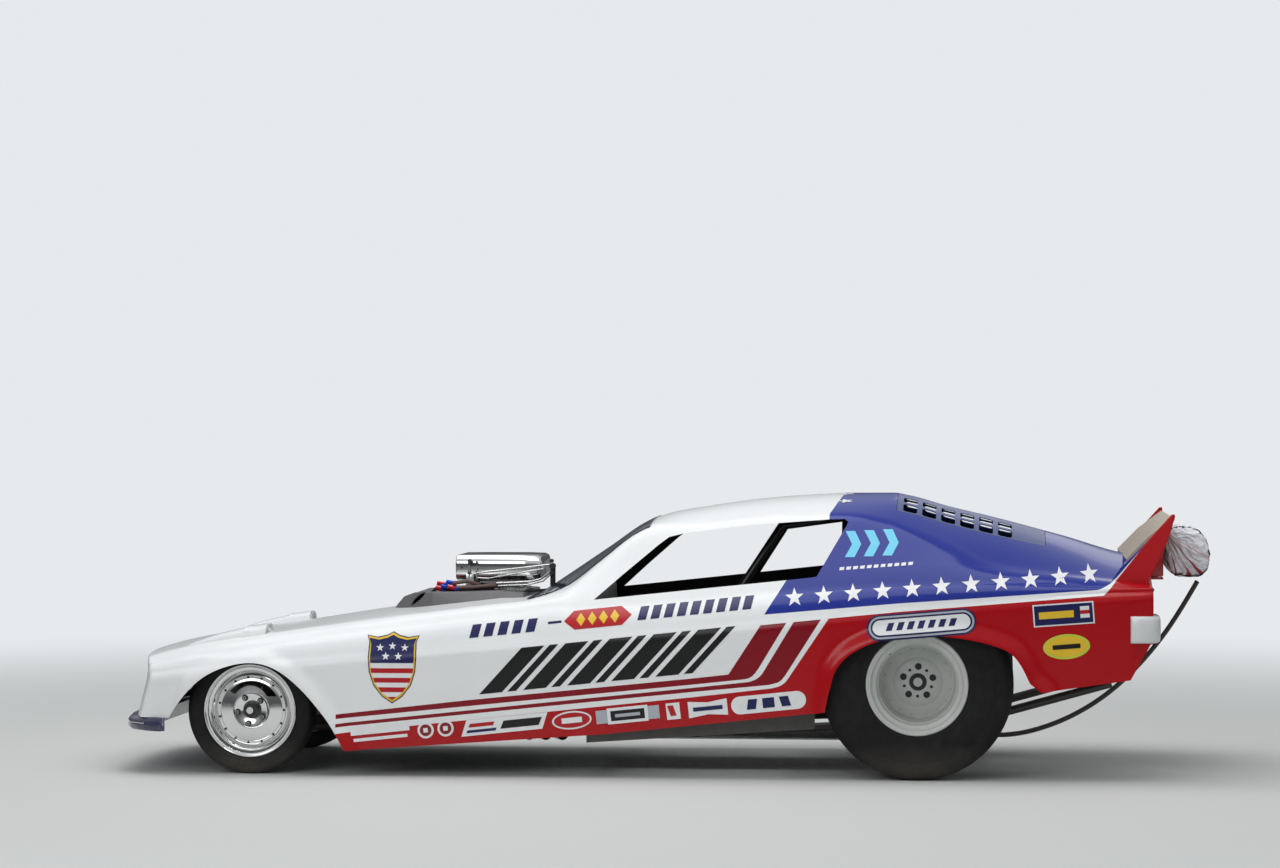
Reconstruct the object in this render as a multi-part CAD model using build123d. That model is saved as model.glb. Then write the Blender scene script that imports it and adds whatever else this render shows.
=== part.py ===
from build123d import *
import os
from math import cos, hypot, pi, radians, sin, tan

# Drag racing car: tube chassis, open supercharged engine and a one-piece coupe body that tips
# up about a tube at its tail. Millimetres, +X forward, +Y to the driver's left, +Z up.
# Lengths along X are measured from the rear axle until save() moves each piece so that
# the origin is on the floor below the middle of the car.

# Driving dimensions
WHEELBASE = 2950
FRONT_OVERHANG = 630
REAR_OVERHANG = 1300
REAR_TYRE_DIAMETER = 836
REAR_TYRE_WIDTH = 400
REAR_TYRE_OUTER_FACE = 796
FRONT_TYRE_DIAMETER = 560
FRONT_TYRE_WIDTH = 140
FRONT_TYRE_OUTER_FACE = 720
REAR_RIM_FLANGE_DIAMETER = 446
FRONT_RIM_FLANGE_DIAMETER = 416
BODY_WALL = 8
GLASS_THICKNESS = 5
FIT_GAP = 1

# Wheels and axles
REAR_AXLE_Z = REAR_TYRE_DIAMETER / 2
FRONT_AXLE_Z = FRONT_TYRE_DIAMETER / 2
FRONT_WHEEL_Y = FRONT_TYRE_OUTER_FACE - FRONT_TYRE_WIDTH / 2
REAR_WHEEL_Y = REAR_TYRE_OUTER_FACE - REAR_TYRE_WIDTH / 2
RIM_EDGE = 12
BEAD_DEPTH = 18
SPINDLE_RADIUS = 14
AXLE_BEAM_RADIUS = 26
RUNNING_GAP = 0.08
AXLE_SHAFT_RADIUS = 20
WHEEL_STUD_CIRCLE = 120.65
KINGPIN_Y = FRONT_WHEEL_Y - 78
STEERING_ARM = 110

# Body hinge at the tail, and how the body ends there
HINGE_X = -860
HINGE_Z = 500
HINGE_TUBE_RADIUS = 14
TAIL_X = -1005
TAIL_LOW_Z = 600

# Frame tubes
RAIL_RADIUS = 19
BRACE_RADIUS = 13
REAR_RAIL_Y = 345
FRONT_RAIL_Y = 230
LOWER_RAIL_Z = 170
UPPER_RAIL_Z = 400

# Engine: the crankshaft line, the bore spacing and the front face of the block
CRANK_Z = 330
BORE_PITCH = 122
BLOCK_FRONT_X = 2240
BLOCK_LENGTH = 530
PULLEY_Z = 622
PIPE_RADIUS = 30
PIPE_WALL = 2
PIPE_END_PITCH = 73.5
PIPE_END_X = 1771
PIPE_END_Y = 752
PIPE_END_Z = 192

# Parachute pack and its tether
PACK_FRONT_X = -1090
TETHER_RADIUS = 11

os.makedirs("parts", exist_ok=True)

OVERALL_LENGTH = WHEELBASE + FRONT_OVERHANG + REAR_OVERHANG
REAR_AXLE_X = REAR_OVERHANG - OVERALL_LENGTH / 2
FRONT_X = WHEELBASE + FRONT_OVERHANG
WIDE = 3000


def save(shape, name):
    export_step(Pos(REAR_AXLE_X, 0, 0) * shape, f"parts/{name}.step")


def block(x0, x1, y0, y1, z0, z1):
    middle = ((x0 + x1) / 2, (y0 + y1) / 2, (z0 + z1) / 2)
    return Pos(*middle) * Box(x1 - x0, y1 - y0, z1 - z0)


def rod(start, end, radius):
    axis = Vector(*end) - Vector(*start)
    return Solid.make_cylinder(radius, axis.length, Plane(origin=start, z_dir=axis))


def both_sides(shape):
    return [shape, shape.mirror(Plane.XZ)]


def fuse(shapes):
    first, *rest = shapes
    return first.fuse(*rest) if rest else first


def polygon_across(points, half_width):
    """A side-view polygon of (x, z) points, as thick as the car is wide."""
    outline = Polyline(*points, close=True)
    face = Plane.XZ * make_face(outline)
    return extrude(face, amount=half_width, both=True)


def plan_polygon(points, z0, z1):
    """A plan-view polygon of (x, y) points between two heights."""
    return Pos(0, 0, z0) * extrude(make_face(Polyline(*points, close=True)), amount=z1 - z0)


# Sections of the lower body, nose to tail
HULL_STATIONS = [
    # x, sill half width, crease half width, crease z, shoulder half width, shoulder z, crown z
    (3620, 680, 700, 412, 620, 452, 462),
    (3360, 772, 786, 440, 655, 536, 552),
    (3235, 782, 796, 450, 662, 562, 580),
    (2861, 786, 798, 483, 672, 621, 644),
    (2450, 788, 802, 518, 680, 676, 702),
    (1712, 786, 800, 583, 682, 766, 790),
    (1100, 800, 812, 636, 688, 808, 834),
    (500, 822, 830, 689, 712, 868, 896),
    (-200, 828, 836, 750, 748, 900, 925),
    (-1100, 800, 812, 828, 716, 846, 900),
]
# Sections of the roof, from the foot of the windscreen to the tail deck
ROOF_STATIONS = [
    # x, base half width, base z, edge half width, edge z, crown z
    (1760, 590, 700, 560, 752, 772),
    (1210, 668, 720, 465, 1094, 1125),
    (980, 688, 740, 512, 1090, 1176),
    (540, 700, 780, 505, 1150, 1231),
    (120, 716, 820, 540, 1112, 1240),
    (-130, 728, 830, 608, 1020, 1176),
    (-300, 736, 830, 660, 942, 1134),
    (-640, 728, 800, 664, 902, 1046),
    (-1060, 706, 780, 650, 858, 936),
]
HULL_FLOOR_Z = 40


def hull_face(row, wall):
    x, sill, crease, crease_z, shoulder, shoulder_z, crown_z = row
    low = (sill - wall, HULL_FLOOR_Z - 4 * wall)
    mid = (crease - wall, crease_z)
    top = (shoulder - wall, shoulder_z - wall)
    crown = (0, crown_z - wall)
    bulge = ((mid[0] + top[0]) / 2 + 14, (mid[1] + top[1]) / 2 + 10)
    return section_face(x, [low, mid, top], {1: bulge}, crown)


def roof_face(row, wall):
    x, base, base_z, edge, edge_z, crown_z = row
    low = (base - wall, base_z - 12 * wall)
    top = (edge - wall, edge_z - wall)
    return section_face(x, [low, top], {}, (0, crown_z - wall))


def section_face(x, side, bulges, crown):
    """A closed section at x: side points from the bottom up, mirrored, with a crowned top."""
    right = [(x, -y, z) for y, z in side]
    left = [(x, y, z) for y, z in side]
    edges = [Edge.make_line(left[0], right[0])]
    for i in range(len(side) - 1):
        if i in bulges:
            y, z = bulges[i]
            edges.append(Edge.make_three_point_arc(right[i], (x, -y, z), right[i + 1]))
            edges.append(Edge.make_three_point_arc(left[i], (x, y, z), left[i + 1]))
        else:
            edges.append(Edge.make_line(right[i], right[i + 1]))
            edges.append(Edge.make_line(left[i], left[i + 1]))
    edges.append(Edge.make_three_point_arc(right[-1], (x, *crown), left[-1]))
    return Face(Wire(edges))


def loft_between(stations, face_of, wall):
    return loft([face_of(row, wall) for row in stations], ruled=True)


# Side outline of the body, (x, z), clockwise from the top of the nose
NOSE_TOP_X = FRONT_X - 120
NOSE_FOOT_X = NOSE_TOP_X + 50
NOSE_BREAK_Z = 430
NOSE_FOOT_Z = 250
FRONT_ARCH_TOP_Z = 496
FRONT_ARCH_REAR_X = WHEELBASE - 441
FRONT_ARCH_FRONT_X = WHEELBASE + 375
SIDE_OUTLINE = [
    (NOSE_TOP_X, 1400),
    (NOSE_TOP_X, NOSE_BREAK_Z),
    (NOSE_FOOT_X, NOSE_FOOT_Z),
    (FRONT_ARCH_FRONT_X - 10, NOSE_FOOT_Z),
    (2509, 116),
    (1381, 196),
    (438, 294),
    (-543, 391),
    (-919, 445),
    (TAIL_X, TAIL_LOW_Z),
    (TAIL_X, 990),
    (-940, 1010),
    (-940, 1400),
]
INNER_OUTLINE = [
    (NOSE_TOP_X - BODY_WALL, 1400),
    (NOSE_TOP_X - BODY_WALL, NOSE_BREAK_Z),
    (NOSE_FOOT_X - BODY_WALL, NOSE_FOOT_Z),
    (NOSE_FOOT_X - BODY_WALL, 0),
    (-1200, 0),
    (-1200, TAIL_LOW_Z),
    (TAIL_X + BODY_WALL, TAIL_LOW_Z),
    (TAIL_X + BODY_WALL, 1400),
]

# Wheel arches, in side view
REAR_ARCH = [(425, 120), (372, 440), (352, 510), (300, 555), (-36, 635), (-390, 572),
             (-455, 520), (-487, 430), (-545, 385), (-545, 120)]


def rear_arch_face():
    p = REAR_ARCH
    edges = [
        Line(p[0], p[1]),
        ThreePointArc(p[1], p[2], p[3]),
        ThreePointArc(p[3], p[4], p[5]),
        ThreePointArc(p[5], p[6], p[7]),
        Line(p[7], p[8]),
        Line(p[8], p[9]),
        Line(p[9], p[0]),
    ]
    return Plane.XZ * make_face(Wire(edges))


def front_arch_face():
    top = (WHEELBASE - 13, FRONT_ARCH_TOP_Z)
    rear = (FRONT_ARCH_REAR_X, 116)
    front = (FRONT_ARCH_FRONT_X, 150)
    edges = [
        ThreePointArc(rear, (WHEELBASE - 242, 387), top),
        ThreePointArc(top, (WHEELBASE + 232, 398), front),
        Line(front, (FRONT_ARCH_FRONT_X, 0)),
        Line((FRONT_ARCH_FRONT_X, 0), (FRONT_ARCH_REAR_X, 0)),
        Line((FRONT_ARCH_REAR_X, 0), rear),
    ]
    return Plane.XZ * make_face(Wire(edges))


SIDE_WINDOW = [(1421, 777), (1103, 1050), (744, 1102), (391, 1126), (271, 1117), (527, 868)]
WINDSCREEN_PLAN = [(1690, 525), (1232, 408)]
COWL_HOLE = (1790, 2180, 235)


def windscreen_prism(gap):
    (x_low, y_low), (x_top, y_top) = WINDSCREEN_PLAN
    points = [(x_low - gap, y_low - gap), (x_top + gap, y_top - gap),
              (x_top + gap, gap - y_top), (x_low - gap, gap - y_low)]
    return plan_polygon(points, 700, 1300)


def flare(arch, y_low, y_high, rise):
    """A rounded lip round one wheel arch, standing out of the body side."""
    outer = offset(arch, amount=rise)
    slab = extrude(outer, amount=-y_high)
    slab = chamfer(slab.faces().sort_by(Axis.Y)[-1].edges(), rise * 0.5, rise * 0.5)
    return slab - block(-WIDE, 2 * WIDE, -WIDE, y_low, -WIDE, WIDE)


def body_solid(wall):
    hull = loft_between(HULL_STATIONS, hull_face, wall)
    roof = loft_between(ROOF_STATIONS, roof_face, wall)
    outline = INNER_OUTLINE if wall else SIDE_OUTLINE
    return (hull + roof) & polygon_across(outline, WIDE)


# Grille opening and round headlamps in the nose
GRILLE_HALF = 330
GRILLE_LOW_Z = 292
GRILLE_TOP_Z = 418
GRILLE_BAR = 7
GRILLE_ROWS = 4
GRILLE_COLUMNS = 10
HEADLAMP_Y = 480
HEADLAMP_Z = 362
HEADLAMP_RADIUS = 82

# Holes through the rear window panel
LOUVRE_ROWS = (330, 205)
LOUVRE_FIRST_X = 40
LOUVRE_PITCH = 84
LOUVRE_COUNT = 6
LOUVRE_LENGTH = 66
LOUVRE_WIDTH = 84
BACKLIGHT_FRONT_X = 100
BACKLIGHT_REAR_X = -560
BACKLIGHT_HALF = 400


def backlight_prism(gap):
    points = [(BACKLIGHT_FRONT_X - gap, BACKLIGHT_HALF - gap),
              (BACKLIGHT_REAR_X + gap, BACKLIGHT_HALF - gap),
              (BACKLIGHT_REAR_X + gap, gap - BACKLIGHT_HALF),
              (BACKLIGHT_FRONT_X - gap, gap - BACKLIGHT_HALF)]
    return plan_polygon(points, 900, 1300)


def louvre_holes():
    holes = []
    for column in range(LOUVRE_COUNT):
        x = LOUVRE_FIRST_X - column * LOUVRE_PITCH
        for y in LOUVRE_ROWS:
            hole = block(x - LOUVRE_LENGTH / 2, x + LOUVRE_LENGTH / 2,
                         y - LOUVRE_WIDTH / 2, y + LOUVRE_WIDTH / 2, 900, 1300)
            holes += both_sides(hole)
    return holes


def fender_scoop():
    """A low ramp on the hood with a slot in its rear face."""
    ramp = polygon_across([(3270, 520), (3180, 588), (2900, 652), (2880, 628), (2880, 520)], 90)
    slot = polygon_across([(2860, 600), (2860, 640), (3000, 630), (3000, 600)], 72)
    return Pos(0, 545, 0) * (ramp - slot)


def make_body():
    outer = body_solid(0)
    inner = body_solid(BODY_WALL)
    rear_flare = flare(rear_arch_face(), 740, 860, 62)
    front_flare = flare(front_arch_face(), 740, 826, 58)
    lips = both_sides(rear_flare) + both_sides(front_flare) + both_sides(fender_scoop())
    arches = [extrude(face, amount=WIDE, both=True) for face in (rear_arch_face(), front_arch_face())]
    hole_rear, hole_front, hole_half = COWL_HOLE
    cuts = arches + [
        polygon_across(SIDE_WINDOW, WIDE),
        windscreen_prism(0),
        backlight_prism(0),
        block(hole_rear, hole_front, -hole_half, hole_half, 600, 900),
        block(NOSE_TOP_X - 60, FRONT_X, -GRILLE_HALF, GRILLE_HALF, GRILLE_LOW_Z, GRILLE_TOP_Z),
    ] + both_sides(headlamp(0))
    trimmed = fuse([outer] + lips) & polygon_across(SIDE_OUTLINE, WIDE)
    save((trimmed - inner).cut(*cuts), "body_shell")
    skin = outer - body_solid(GLASS_THICKNESS)
    save(skin & windscreen_prism(FIT_GAP), "windscreen")
    save((skin & backlight_prism(FIT_GAP)).cut(*louvre_holes()), "rear_window_panel")
    return outer


def headlamp(inset):
    """A round lamp through the nose, smaller than its hole by the inset."""
    x0, x1 = NOSE_TOP_X - 12, NOSE_TOP_X + 34
    return rod((x0, HEADLAMP_Y, HEADLAMP_Z), (x1, HEADLAMP_Y, HEADLAMP_Z), HEADLAMP_RADIUS - inset)


def make_cowl(outer):
    """Raised grey ring round the hole that the injector stands in."""
    rear_x, nose_x, half = 1772, 2402, 345
    plan = plan_polygon([(rear_x, half), (2210, half), (2340, half - 90), (nose_x, 120),
                         (nose_x, -120), (2340, 90 - half), (2210, -half), (rear_x, -half)],
                        600, 900)
    profile = polygon_across([(rear_x, 600), (rear_x, 806), (1934, 792), (2196, 776),
                              (2330, 764), (nose_x, 712), (nose_x, 600)], half)
    hole_rear, hole_front, hole_half = COWL_HOLE
    ring = (plan & profile) - outer
    ring -= block(hole_rear, hole_front, -hole_half, hole_half, 600, 900)
    slot = block(2225, 2305, -300, -240, 700, 900) + block(2225, 2305, 240, 300, 700, 900)
    save(ring - slot, "engine_cowl")


def make_front():
    """Front spoiler lip, and the grille and headlamps in the nose."""
    lip_front = FRONT_X
    plan = plan_polygon([(lip_front, 0), (lip_front - 8, 250), (lip_front - 32, 500),
                         (lip_front - 80, 640), (3330, 790), (3330, 740), (3440, 600),
                         (3440, -600), (3330, -740), (3330, -790), (lip_front - 80, -640),
                         (lip_front - 32, -500), (lip_front - 8, -250)], 189, NOSE_FOOT_Z)
    save(plan, "front_spoiler")
    face = [(NOSE_TOP_X, NOSE_BREAK_Z), (NOSE_FOOT_X, NOSE_FOOT_Z),
            (NOSE_FOOT_X - 20, NOSE_FOOT_Z), (NOSE_TOP_X - 20, NOSE_BREAK_Z)]
    row_pitch = (GRILLE_TOP_Z - GRILLE_LOW_Z - GRILLE_BAR) / GRILLE_ROWS
    column_pitch = (2 * GRILLE_HALF - GRILLE_BAR) / GRILLE_COLUMNS
    lattice = []
    for i in range(GRILLE_ROWS + 1):
        z = GRILLE_LOW_Z + i * row_pitch
        lattice.append(block(NOSE_TOP_X - 60, FRONT_X, -GRILLE_HALF, GRILLE_HALF, z, z + GRILLE_BAR))
    for i in range(GRILLE_COLUMNS + 1):
        y = -GRILLE_HALF + i * column_pitch
        lattice.append(block(NOSE_TOP_X - 60, FRONT_X, y, y + GRILLE_BAR, GRILLE_LOW_Z, GRILLE_TOP_Z))
    save(fuse(lattice) & polygon_across(face, GRILLE_HALF), "grille")
    save(Compound(both_sides(headlamp(FIT_GAP))), "headlamps")


def make_tail(outer):
    blade = polygon_across([(-905, 966), (-1105, 1142), (-1113, 1132), (-917, 950)], 640)
    save(blade - outer, "rear_spoiler")
    fence = polygon_across([(-880, 900), (-1000, 990), (-1118, 1150), (-1118, 1110),
                            (TAIL_X, 860), (-960, 800)], 8)
    save(Compound(both_sides(Pos(0, 648, 0) * fence - outer)), "spoiler_fences")
    corner = plan_polygon([(-1050, 560), (-1050, 790), (-1030, 825), (-918, 834), (-918, 790),
                           (TAIL_X, 560)], 603, 724) - outer
    save(Compound(both_sides(corner)), "rear_bumper")
    lamp = block(TAIL_X - 14, TAIL_X, 470, 700, 760, 830)
    save(Compound(both_sides(lamp)), "tail_lamps")
    save(block(-1087, TAIL_X, -150, 150, 850, 977), "parachute_bracket")
    pack = Pos(-1195, 0, 975) * Box(205, 360, 230)
    save(fillet(pack.edges(), 60), "parachute_pack")
    arm = polygon_across([(HINGE_X - 26, HINGE_Z - 26), (HINGE_X + 26, HINGE_Z - 26),
                          (HINGE_X + 26, HINGE_Z + 40), (TAIL_X + BODY_WALL, 720),
                          (TAIL_X + BODY_WALL, 620)], 6)
    bore = rod((HINGE_X, -50, HINGE_Z), (HINGE_X, 50, HINGE_Z), HINGE_TUBE_RADIUS + RUNNING_GAP)
    save(Compound(both_sides(Pos(0, 300, 0) * (arm - bore))), "hinge_arms")


def make_chassis():
    lower = [(3260, FRONT_RAIL_Y - 40, 175), (2400, FRONT_RAIL_Y, LOWER_RAIL_Z),
             (1000, REAR_RAIL_Y, LOWER_RAIL_Z), (-240, REAR_RAIL_Y, 230), (-850, REAR_RAIL_Y, 400)]
    upper = [(3100, FRONT_RAIL_Y - 40, 360), (2400, FRONT_RAIL_Y, UPPER_RAIL_Z),
             (1000, REAR_RAIL_Y, 470), (-150, REAR_RAIL_Y, 560),
             (HINGE_X, REAR_RAIL_Y, HINGE_Z)]
    tubes = []
    for path in (lower, upper):
        for start, end in zip(path, path[1:]):
            tubes += both_sides(rod(start, end, RAIL_RADIUS))
        for point in path[1:-1]:
            tubes += both_sides(Pos(*point) * Sphere(RAIL_RADIUS))
        for x_end in (path[0],):
            tubes.append(rod((x_end[0], -x_end[1], x_end[2]), x_end, RAIL_RADIUS))
    for x, y, z0, z1 in [(3090, 200, 176, 360), (2400, 230, 170, 400), (1450, 308, 170, 448),
                         (1000, 345, 170, 470), (300, 345, 205, 522), (-230, 345, 235, 550)]:
        tubes += both_sides(rod((x, y, z0), (x, y, z1), BRACE_RADIUS))
        tubes.append(rod((x, -y, z0), (x, y, z0), BRACE_RADIUS))
    beam = rod((WHEELBASE, -400, FRONT_AXLE_Z), (WHEELBASE, 400, FRONT_AXLE_Z), AXLE_BEAM_RADIUS)
    hanger = block(WHEELBASE - 42, WHEELBASE + 42, 190, 214, 172, 372) - beam
    frame = fuse(tubes + both_sides(hanger))
    hinge = rod((HINGE_X, -REAR_RAIL_Y - 30, HINGE_Z), (HINGE_X, REAR_RAIL_Y + 30, HINGE_Z),
                HINGE_TUBE_RADIUS)
    save(fuse([frame, hinge]), "frame_rails")

    hoop_x, top_z, top_y = 330, 1130, 200
    cage = []
    cage += both_sides(rod((hoop_x, REAR_RAIL_Y - 20, 545), (hoop_x, 300, 850), RAIL_RADIUS))
    cage += both_sides(rod((hoop_x, 300, 850), (hoop_x, top_y, top_z), RAIL_RADIUS))
    cage += both_sides(Pos(hoop_x, 300, 850) * Sphere(RAIL_RADIUS))
    cage += both_sides(Pos(hoop_x, top_y, top_z) * Sphere(RAIL_RADIUS))
    cage.append(rod((hoop_x, -top_y, top_z), (hoop_x, top_y, top_z), RAIL_RADIUS))
    cage += both_sides(rod((hoop_x, top_y, top_z), (620, top_y, 1090), RAIL_RADIUS))
    cage += both_sides(Pos(620, top_y, 1090) * Sphere(RAIL_RADIUS))
    cage.append(rod((620, -top_y, 1090), (620, top_y, 1090), RAIL_RADIUS))
    cage += both_sides(rod((620, top_y, 1090), (1000, 330, 505), RAIL_RADIUS))
    cage += both_sides(rod((hoop_x, 300, 850), (-120, 320, 600), RAIL_RADIUS))
    save(fuse(cage), "roll_cage")

    pan = block(100, 1400, -340, 340, 138, 146)
    side = polygon_across([(1450, 150), (1450, 330), (447, 400), (447, 217)], 4)
    rocker = Pos(0, 716, 0) * side
    strut = block(500, 560, 340, 716, 290, 300) + block(1300, 1360, 330, 716, 200, 210)
    save(pan, "belly_pan")
    save(Compound(both_sides(fuse([rocker, strut]))), "rocker_panels")
    wall = Plane.YZ * make_face(Polyline((-560, 472), (560, 472), (560, 700), (470, 840),
                                        (-470, 840), (-560, 700), close=True))
    save(Pos(1440, 0, 0) * extrude(wall, amount=6), "firewall")

    seat = polygon_across([(780, 450), (780, 480), (430, 470), (350, 960), (310, 960),
                           (370, 450)], 190)
    save(seat, "driver_seat")
    save(rod((1300, 0, 560), (985, 0, 640), 14), "steering_column")
    tank = block(3122, 3238, -160, 160, 235, 425)
    save(fillet(tank.edges().filter_by(Axis.X), 50), "fuel_tank")


def make_engine():
    x1 = BLOCK_FRONT_X
    x0 = x1 - BLOCK_LENGTH
    profile = [(-150, 180), (150, 180), (160, 250), (200, 300), (215, 470), (90, 540),
               (-90, 540), (-215, 470), (-200, 300), (-160, 250)]
    face = Plane.YZ * make_face(Polyline(*profile, close=True))
    engine = Pos(x0, 0, 0) * extrude(face, amount=BLOCK_LENGTH)
    save(engine, "engine_block")
    head = Pos((x0 + x1) / 2, 205, 540) * Rot(-45, 0, 0) * Box(BLOCK_LENGTH - 20, 150, 90)
    head -= engine
    save(Compound(both_sides(head)), "cylinder_heads")
    cover = Pos((x0 + x1) / 2, 262, 597) * Rot(-45, 0, 0) * Box(BLOCK_LENGTH - 20, 130, 70)
    save(Compound(both_sides(cover)), "valve_covers")
    save(block(x0 + 30, x1 - 30, -100, 100, 541, 600), "intake_manifold")
    case = block(x0 + 40, x1 - 60, -130, 130, 600, 770)
    ribs = []
    for i in range(14):
        x = x0 + 55 + i * 31
        ribs.append(block(x, x + 8, -142, 142, 610, 762))
    save(fuse([case] + ribs), "supercharger")
    save(block(1800, 2120, -150, 150, 770, 800), "injector_plate")
    hat = polygon_across([(1712, 836), (1712, 940), (1730, 954), (2104, 954), (2104, 836)], 200)
    hat = fillet(hat.edges().filter_by(Axis.X), 28) - block(1990, 2200, -180, 180, 860, 940)
    save(hat + block(1810, 2060, -140, 140, 800, 836), "injector_hat")
    upper = rod((x1, 0, PULLEY_Z), (x1 + 90, 0, PULLEY_Z), 62)
    lower = rod((x1, 0, CRANK_Z), (x1 + 90, 0, CRANK_Z), 80)
    belt = Plane.YZ * make_face(Polyline((-80, CRANK_Z), (80, CRANK_Z), (62, PULLEY_Z), (-62, PULLEY_Z),
                                         close=True))
    save(fuse([upper, lower, Pos(x1 + 12, 0, 0) * extrude(belt, amount=66)]), "supercharger_drive")
    save(rod((x0 - 60, 60, 560), (x0 - 60, 60, 690), 45), "magneto")
    bell = rod((x0, 0, CRANK_Z), (x0 - 140, 0, CRANK_Z), 175)
    box = rod((x0 - 140, 0, CRANK_Z), (1130, 0, CRANK_Z), 95)
    save(fuse([bell, box]), "gearbox")
    save(rod((1124, 0, CRANK_Z), (176, 0, 399), 40), "driveshaft")
    for name, sign in (("exhaust_left", 1), ("exhaust_right", -1)):
        pipes = []
        for i in range(4):
            port_x = x1 - 85 - i * BORE_PITCH
            end_x = PIPE_END_X - i * PIPE_END_PITCH
            path = FilletPolyline((port_x, sign * 262, 500), (port_x - 10, sign * 350, 450),
                                  ((port_x + end_x) / 2 + 20, sign * 520, 270),
                                  (end_x + 60, sign * 640, PIPE_END_Z + 8),
                                  (end_x, sign * PIPE_END_Y, PIPE_END_Z), radius=60)
            plane = Plane(origin=path @ 0, z_dir=path % 0)
            ring = Circle(PIPE_RADIUS) - Circle(PIPE_RADIUS - PIPE_WALL)
            pipes.append(sweep(plane * ring, path=path) - (head if sign > 0 else head.mirror(Plane.XZ)))
        save(Compound(pipes), name)


def ring_turned(points, y):
    """A profile of (radius, distance outboard of y) points turned about the wheel's axis."""
    face = make_face(Polyline(*points, close=True))
    turned = revolve(face, Axis.Y)
    return Pos(0, y, 0) * turned


def tyre(diameter, width, flange, shoulder):
    seat = flange / 2 - BEAD_DEPTH
    r = diameter / 2
    half = width / 2
    points = [(seat, half - RIM_EDGE), (flange / 2, half - RIM_EDGE), (flange / 2 + 3, half - 3),
              (r - 1.6 * shoulder, half), (r - shoulder, half - 4),
              (r - 6, half - shoulder), (r, half - 1.6 * shoulder)]
    points += [(a, -b) for a, b in reversed(points)]
    return ring_turned(points, 0)


def make_wheels():
    front_seat = FRONT_RIM_FLANGE_DIAMETER / 2 - BEAD_DEPTH
    half = FRONT_TYRE_WIDTH / 2 - RIM_EDGE
    flange = FRONT_RIM_FLANGE_DIAMETER / 2
    rim = [(front_seat, half), (flange, half), (flange, half + 8), (front_seat - 8, half + 8),
           (front_seat - 20, half - 30), (front_seat - 46, half - 42), (front_seat - 60, half - 36),
           (80, half - 8), (52, half), (SPINDLE_RADIUS + RUNNING_GAP, half),
           (SPINDLE_RADIUS + RUNNING_GAP, half - 90), (52, half - 90), (60, half - 24),
           (front_seat - 50, half - 52), (front_seat - 12, half - 60), (front_seat - 8, -half - 8),
           (flange, -half - 8), (flange, -half), (front_seat, -half)]
    wheel = ring_turned(rim, 0)
    window = Pos(0, 0, 0) * block(-50, 50, half - 70, half, 92, 128)
    wheel = wheel.cut(window, window.rotate(Axis.Y, 180))
    tread = tyre(FRONT_TYRE_DIAMETER, FRONT_TYRE_WIDTH, FRONT_RIM_FLANGE_DIAMETER, 26)
    cap = rod((0, half, 0), (0, half + 14, 0), 34)
    lug_angles = [i * 72 for i in range(5)]
    lugs = []
    for angle in lug_angles:
        y, r = half, WHEEL_STUD_CIRCLE / 2
        lugs.append(rod((r * sin(radians(angle)), y - 4, r * cos(radians(angle))),
                        (r * sin(radians(angle)), y + 14, r * cos(radians(angle))), 10))
    front = fuse([wheel] + lugs)
    cap = cap - rod((0, 0, 0), (0, half + 8, 0), SPINDLE_RADIUS + RUNNING_GAP)
    for side, sign in (("left", 1), ("right", -1)):
        place = Pos(WHEELBASE, sign * FRONT_WHEEL_Y, FRONT_AXLE_Z)
        turn = Rot(0, 0, 0) if sign > 0 else Rot(0, 0, 180)
        save(place * turn * front.fuse(cap), f"front_wheel_{side}")
        save(place * turn * tread, f"front_tyre_{side}")

    rear_seat = REAR_RIM_FLANGE_DIAMETER / 2 - BEAD_DEPTH
    rear_half = REAR_TYRE_WIDTH / 2 - RIM_EDGE
    rear_flange = REAR_RIM_FLANGE_DIAMETER / 2
    disc = rear_half - 190
    rim = [(rear_seat, rear_half), (rear_flange, rear_half), (rear_flange, rear_half + 8),
           (rear_seat - 6, rear_half + 8), (rear_seat - 12, rear_half - 60),
           (rear_seat - 24, rear_half - 66), (rear_seat - 30, disc), (AXLE_SHAFT_RADIUS, disc),
           (AXLE_SHAFT_RADIUS, disc - 12), (rear_seat - 26, disc - 12), (rear_seat - 8, disc - 20),
           (rear_seat - 8, -rear_half - 8), (rear_flange, -rear_half - 8),
           (rear_flange, -rear_half), (rear_seat, -rear_half)]
    wheel = ring_turned(rim, 0)
    holes = []
    for i in range(10):
        angle = radians(i * 36)
        r = 62 if i % 2 else 78
        x, z = r * sin(angle), r * cos(angle)
        holes.append(rod((x, disc - 40, z), (x, disc + 20, z), 8 if i % 2 else 14))
    wheel = wheel.cut(*holes)
    tread = tyre(REAR_TYRE_DIAMETER, REAR_TYRE_WIDTH, REAR_RIM_FLANGE_DIAMETER, 44)
    for side, sign in (("left", 1), ("right", -1)):
        place = Pos(0, sign * REAR_WHEEL_Y, REAR_AXLE_Z)
        turn = Rot(0, 0, 0) if sign > 0 else Rot(0, 0, 180)
        save(place * turn * wheel, f"rear_wheel_{side}")
        save(place * turn * tread, f"rear_tyre_{side}")
    hub_y = REAR_WHEEL_Y + disc
    shaft = rod((0, -hub_y - 20, REAR_AXLE_Z), (0, hub_y + 20, REAR_AXLE_Z), AXLE_SHAFT_RADIUS)
    brake = [rod((0, s * 385, REAR_AXLE_Z), (0, s * 393, REAR_AXLE_Z), 145) for s in (1, -1)]
    save(fuse([shaft] + brake), "rear_axle_shaft")


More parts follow.
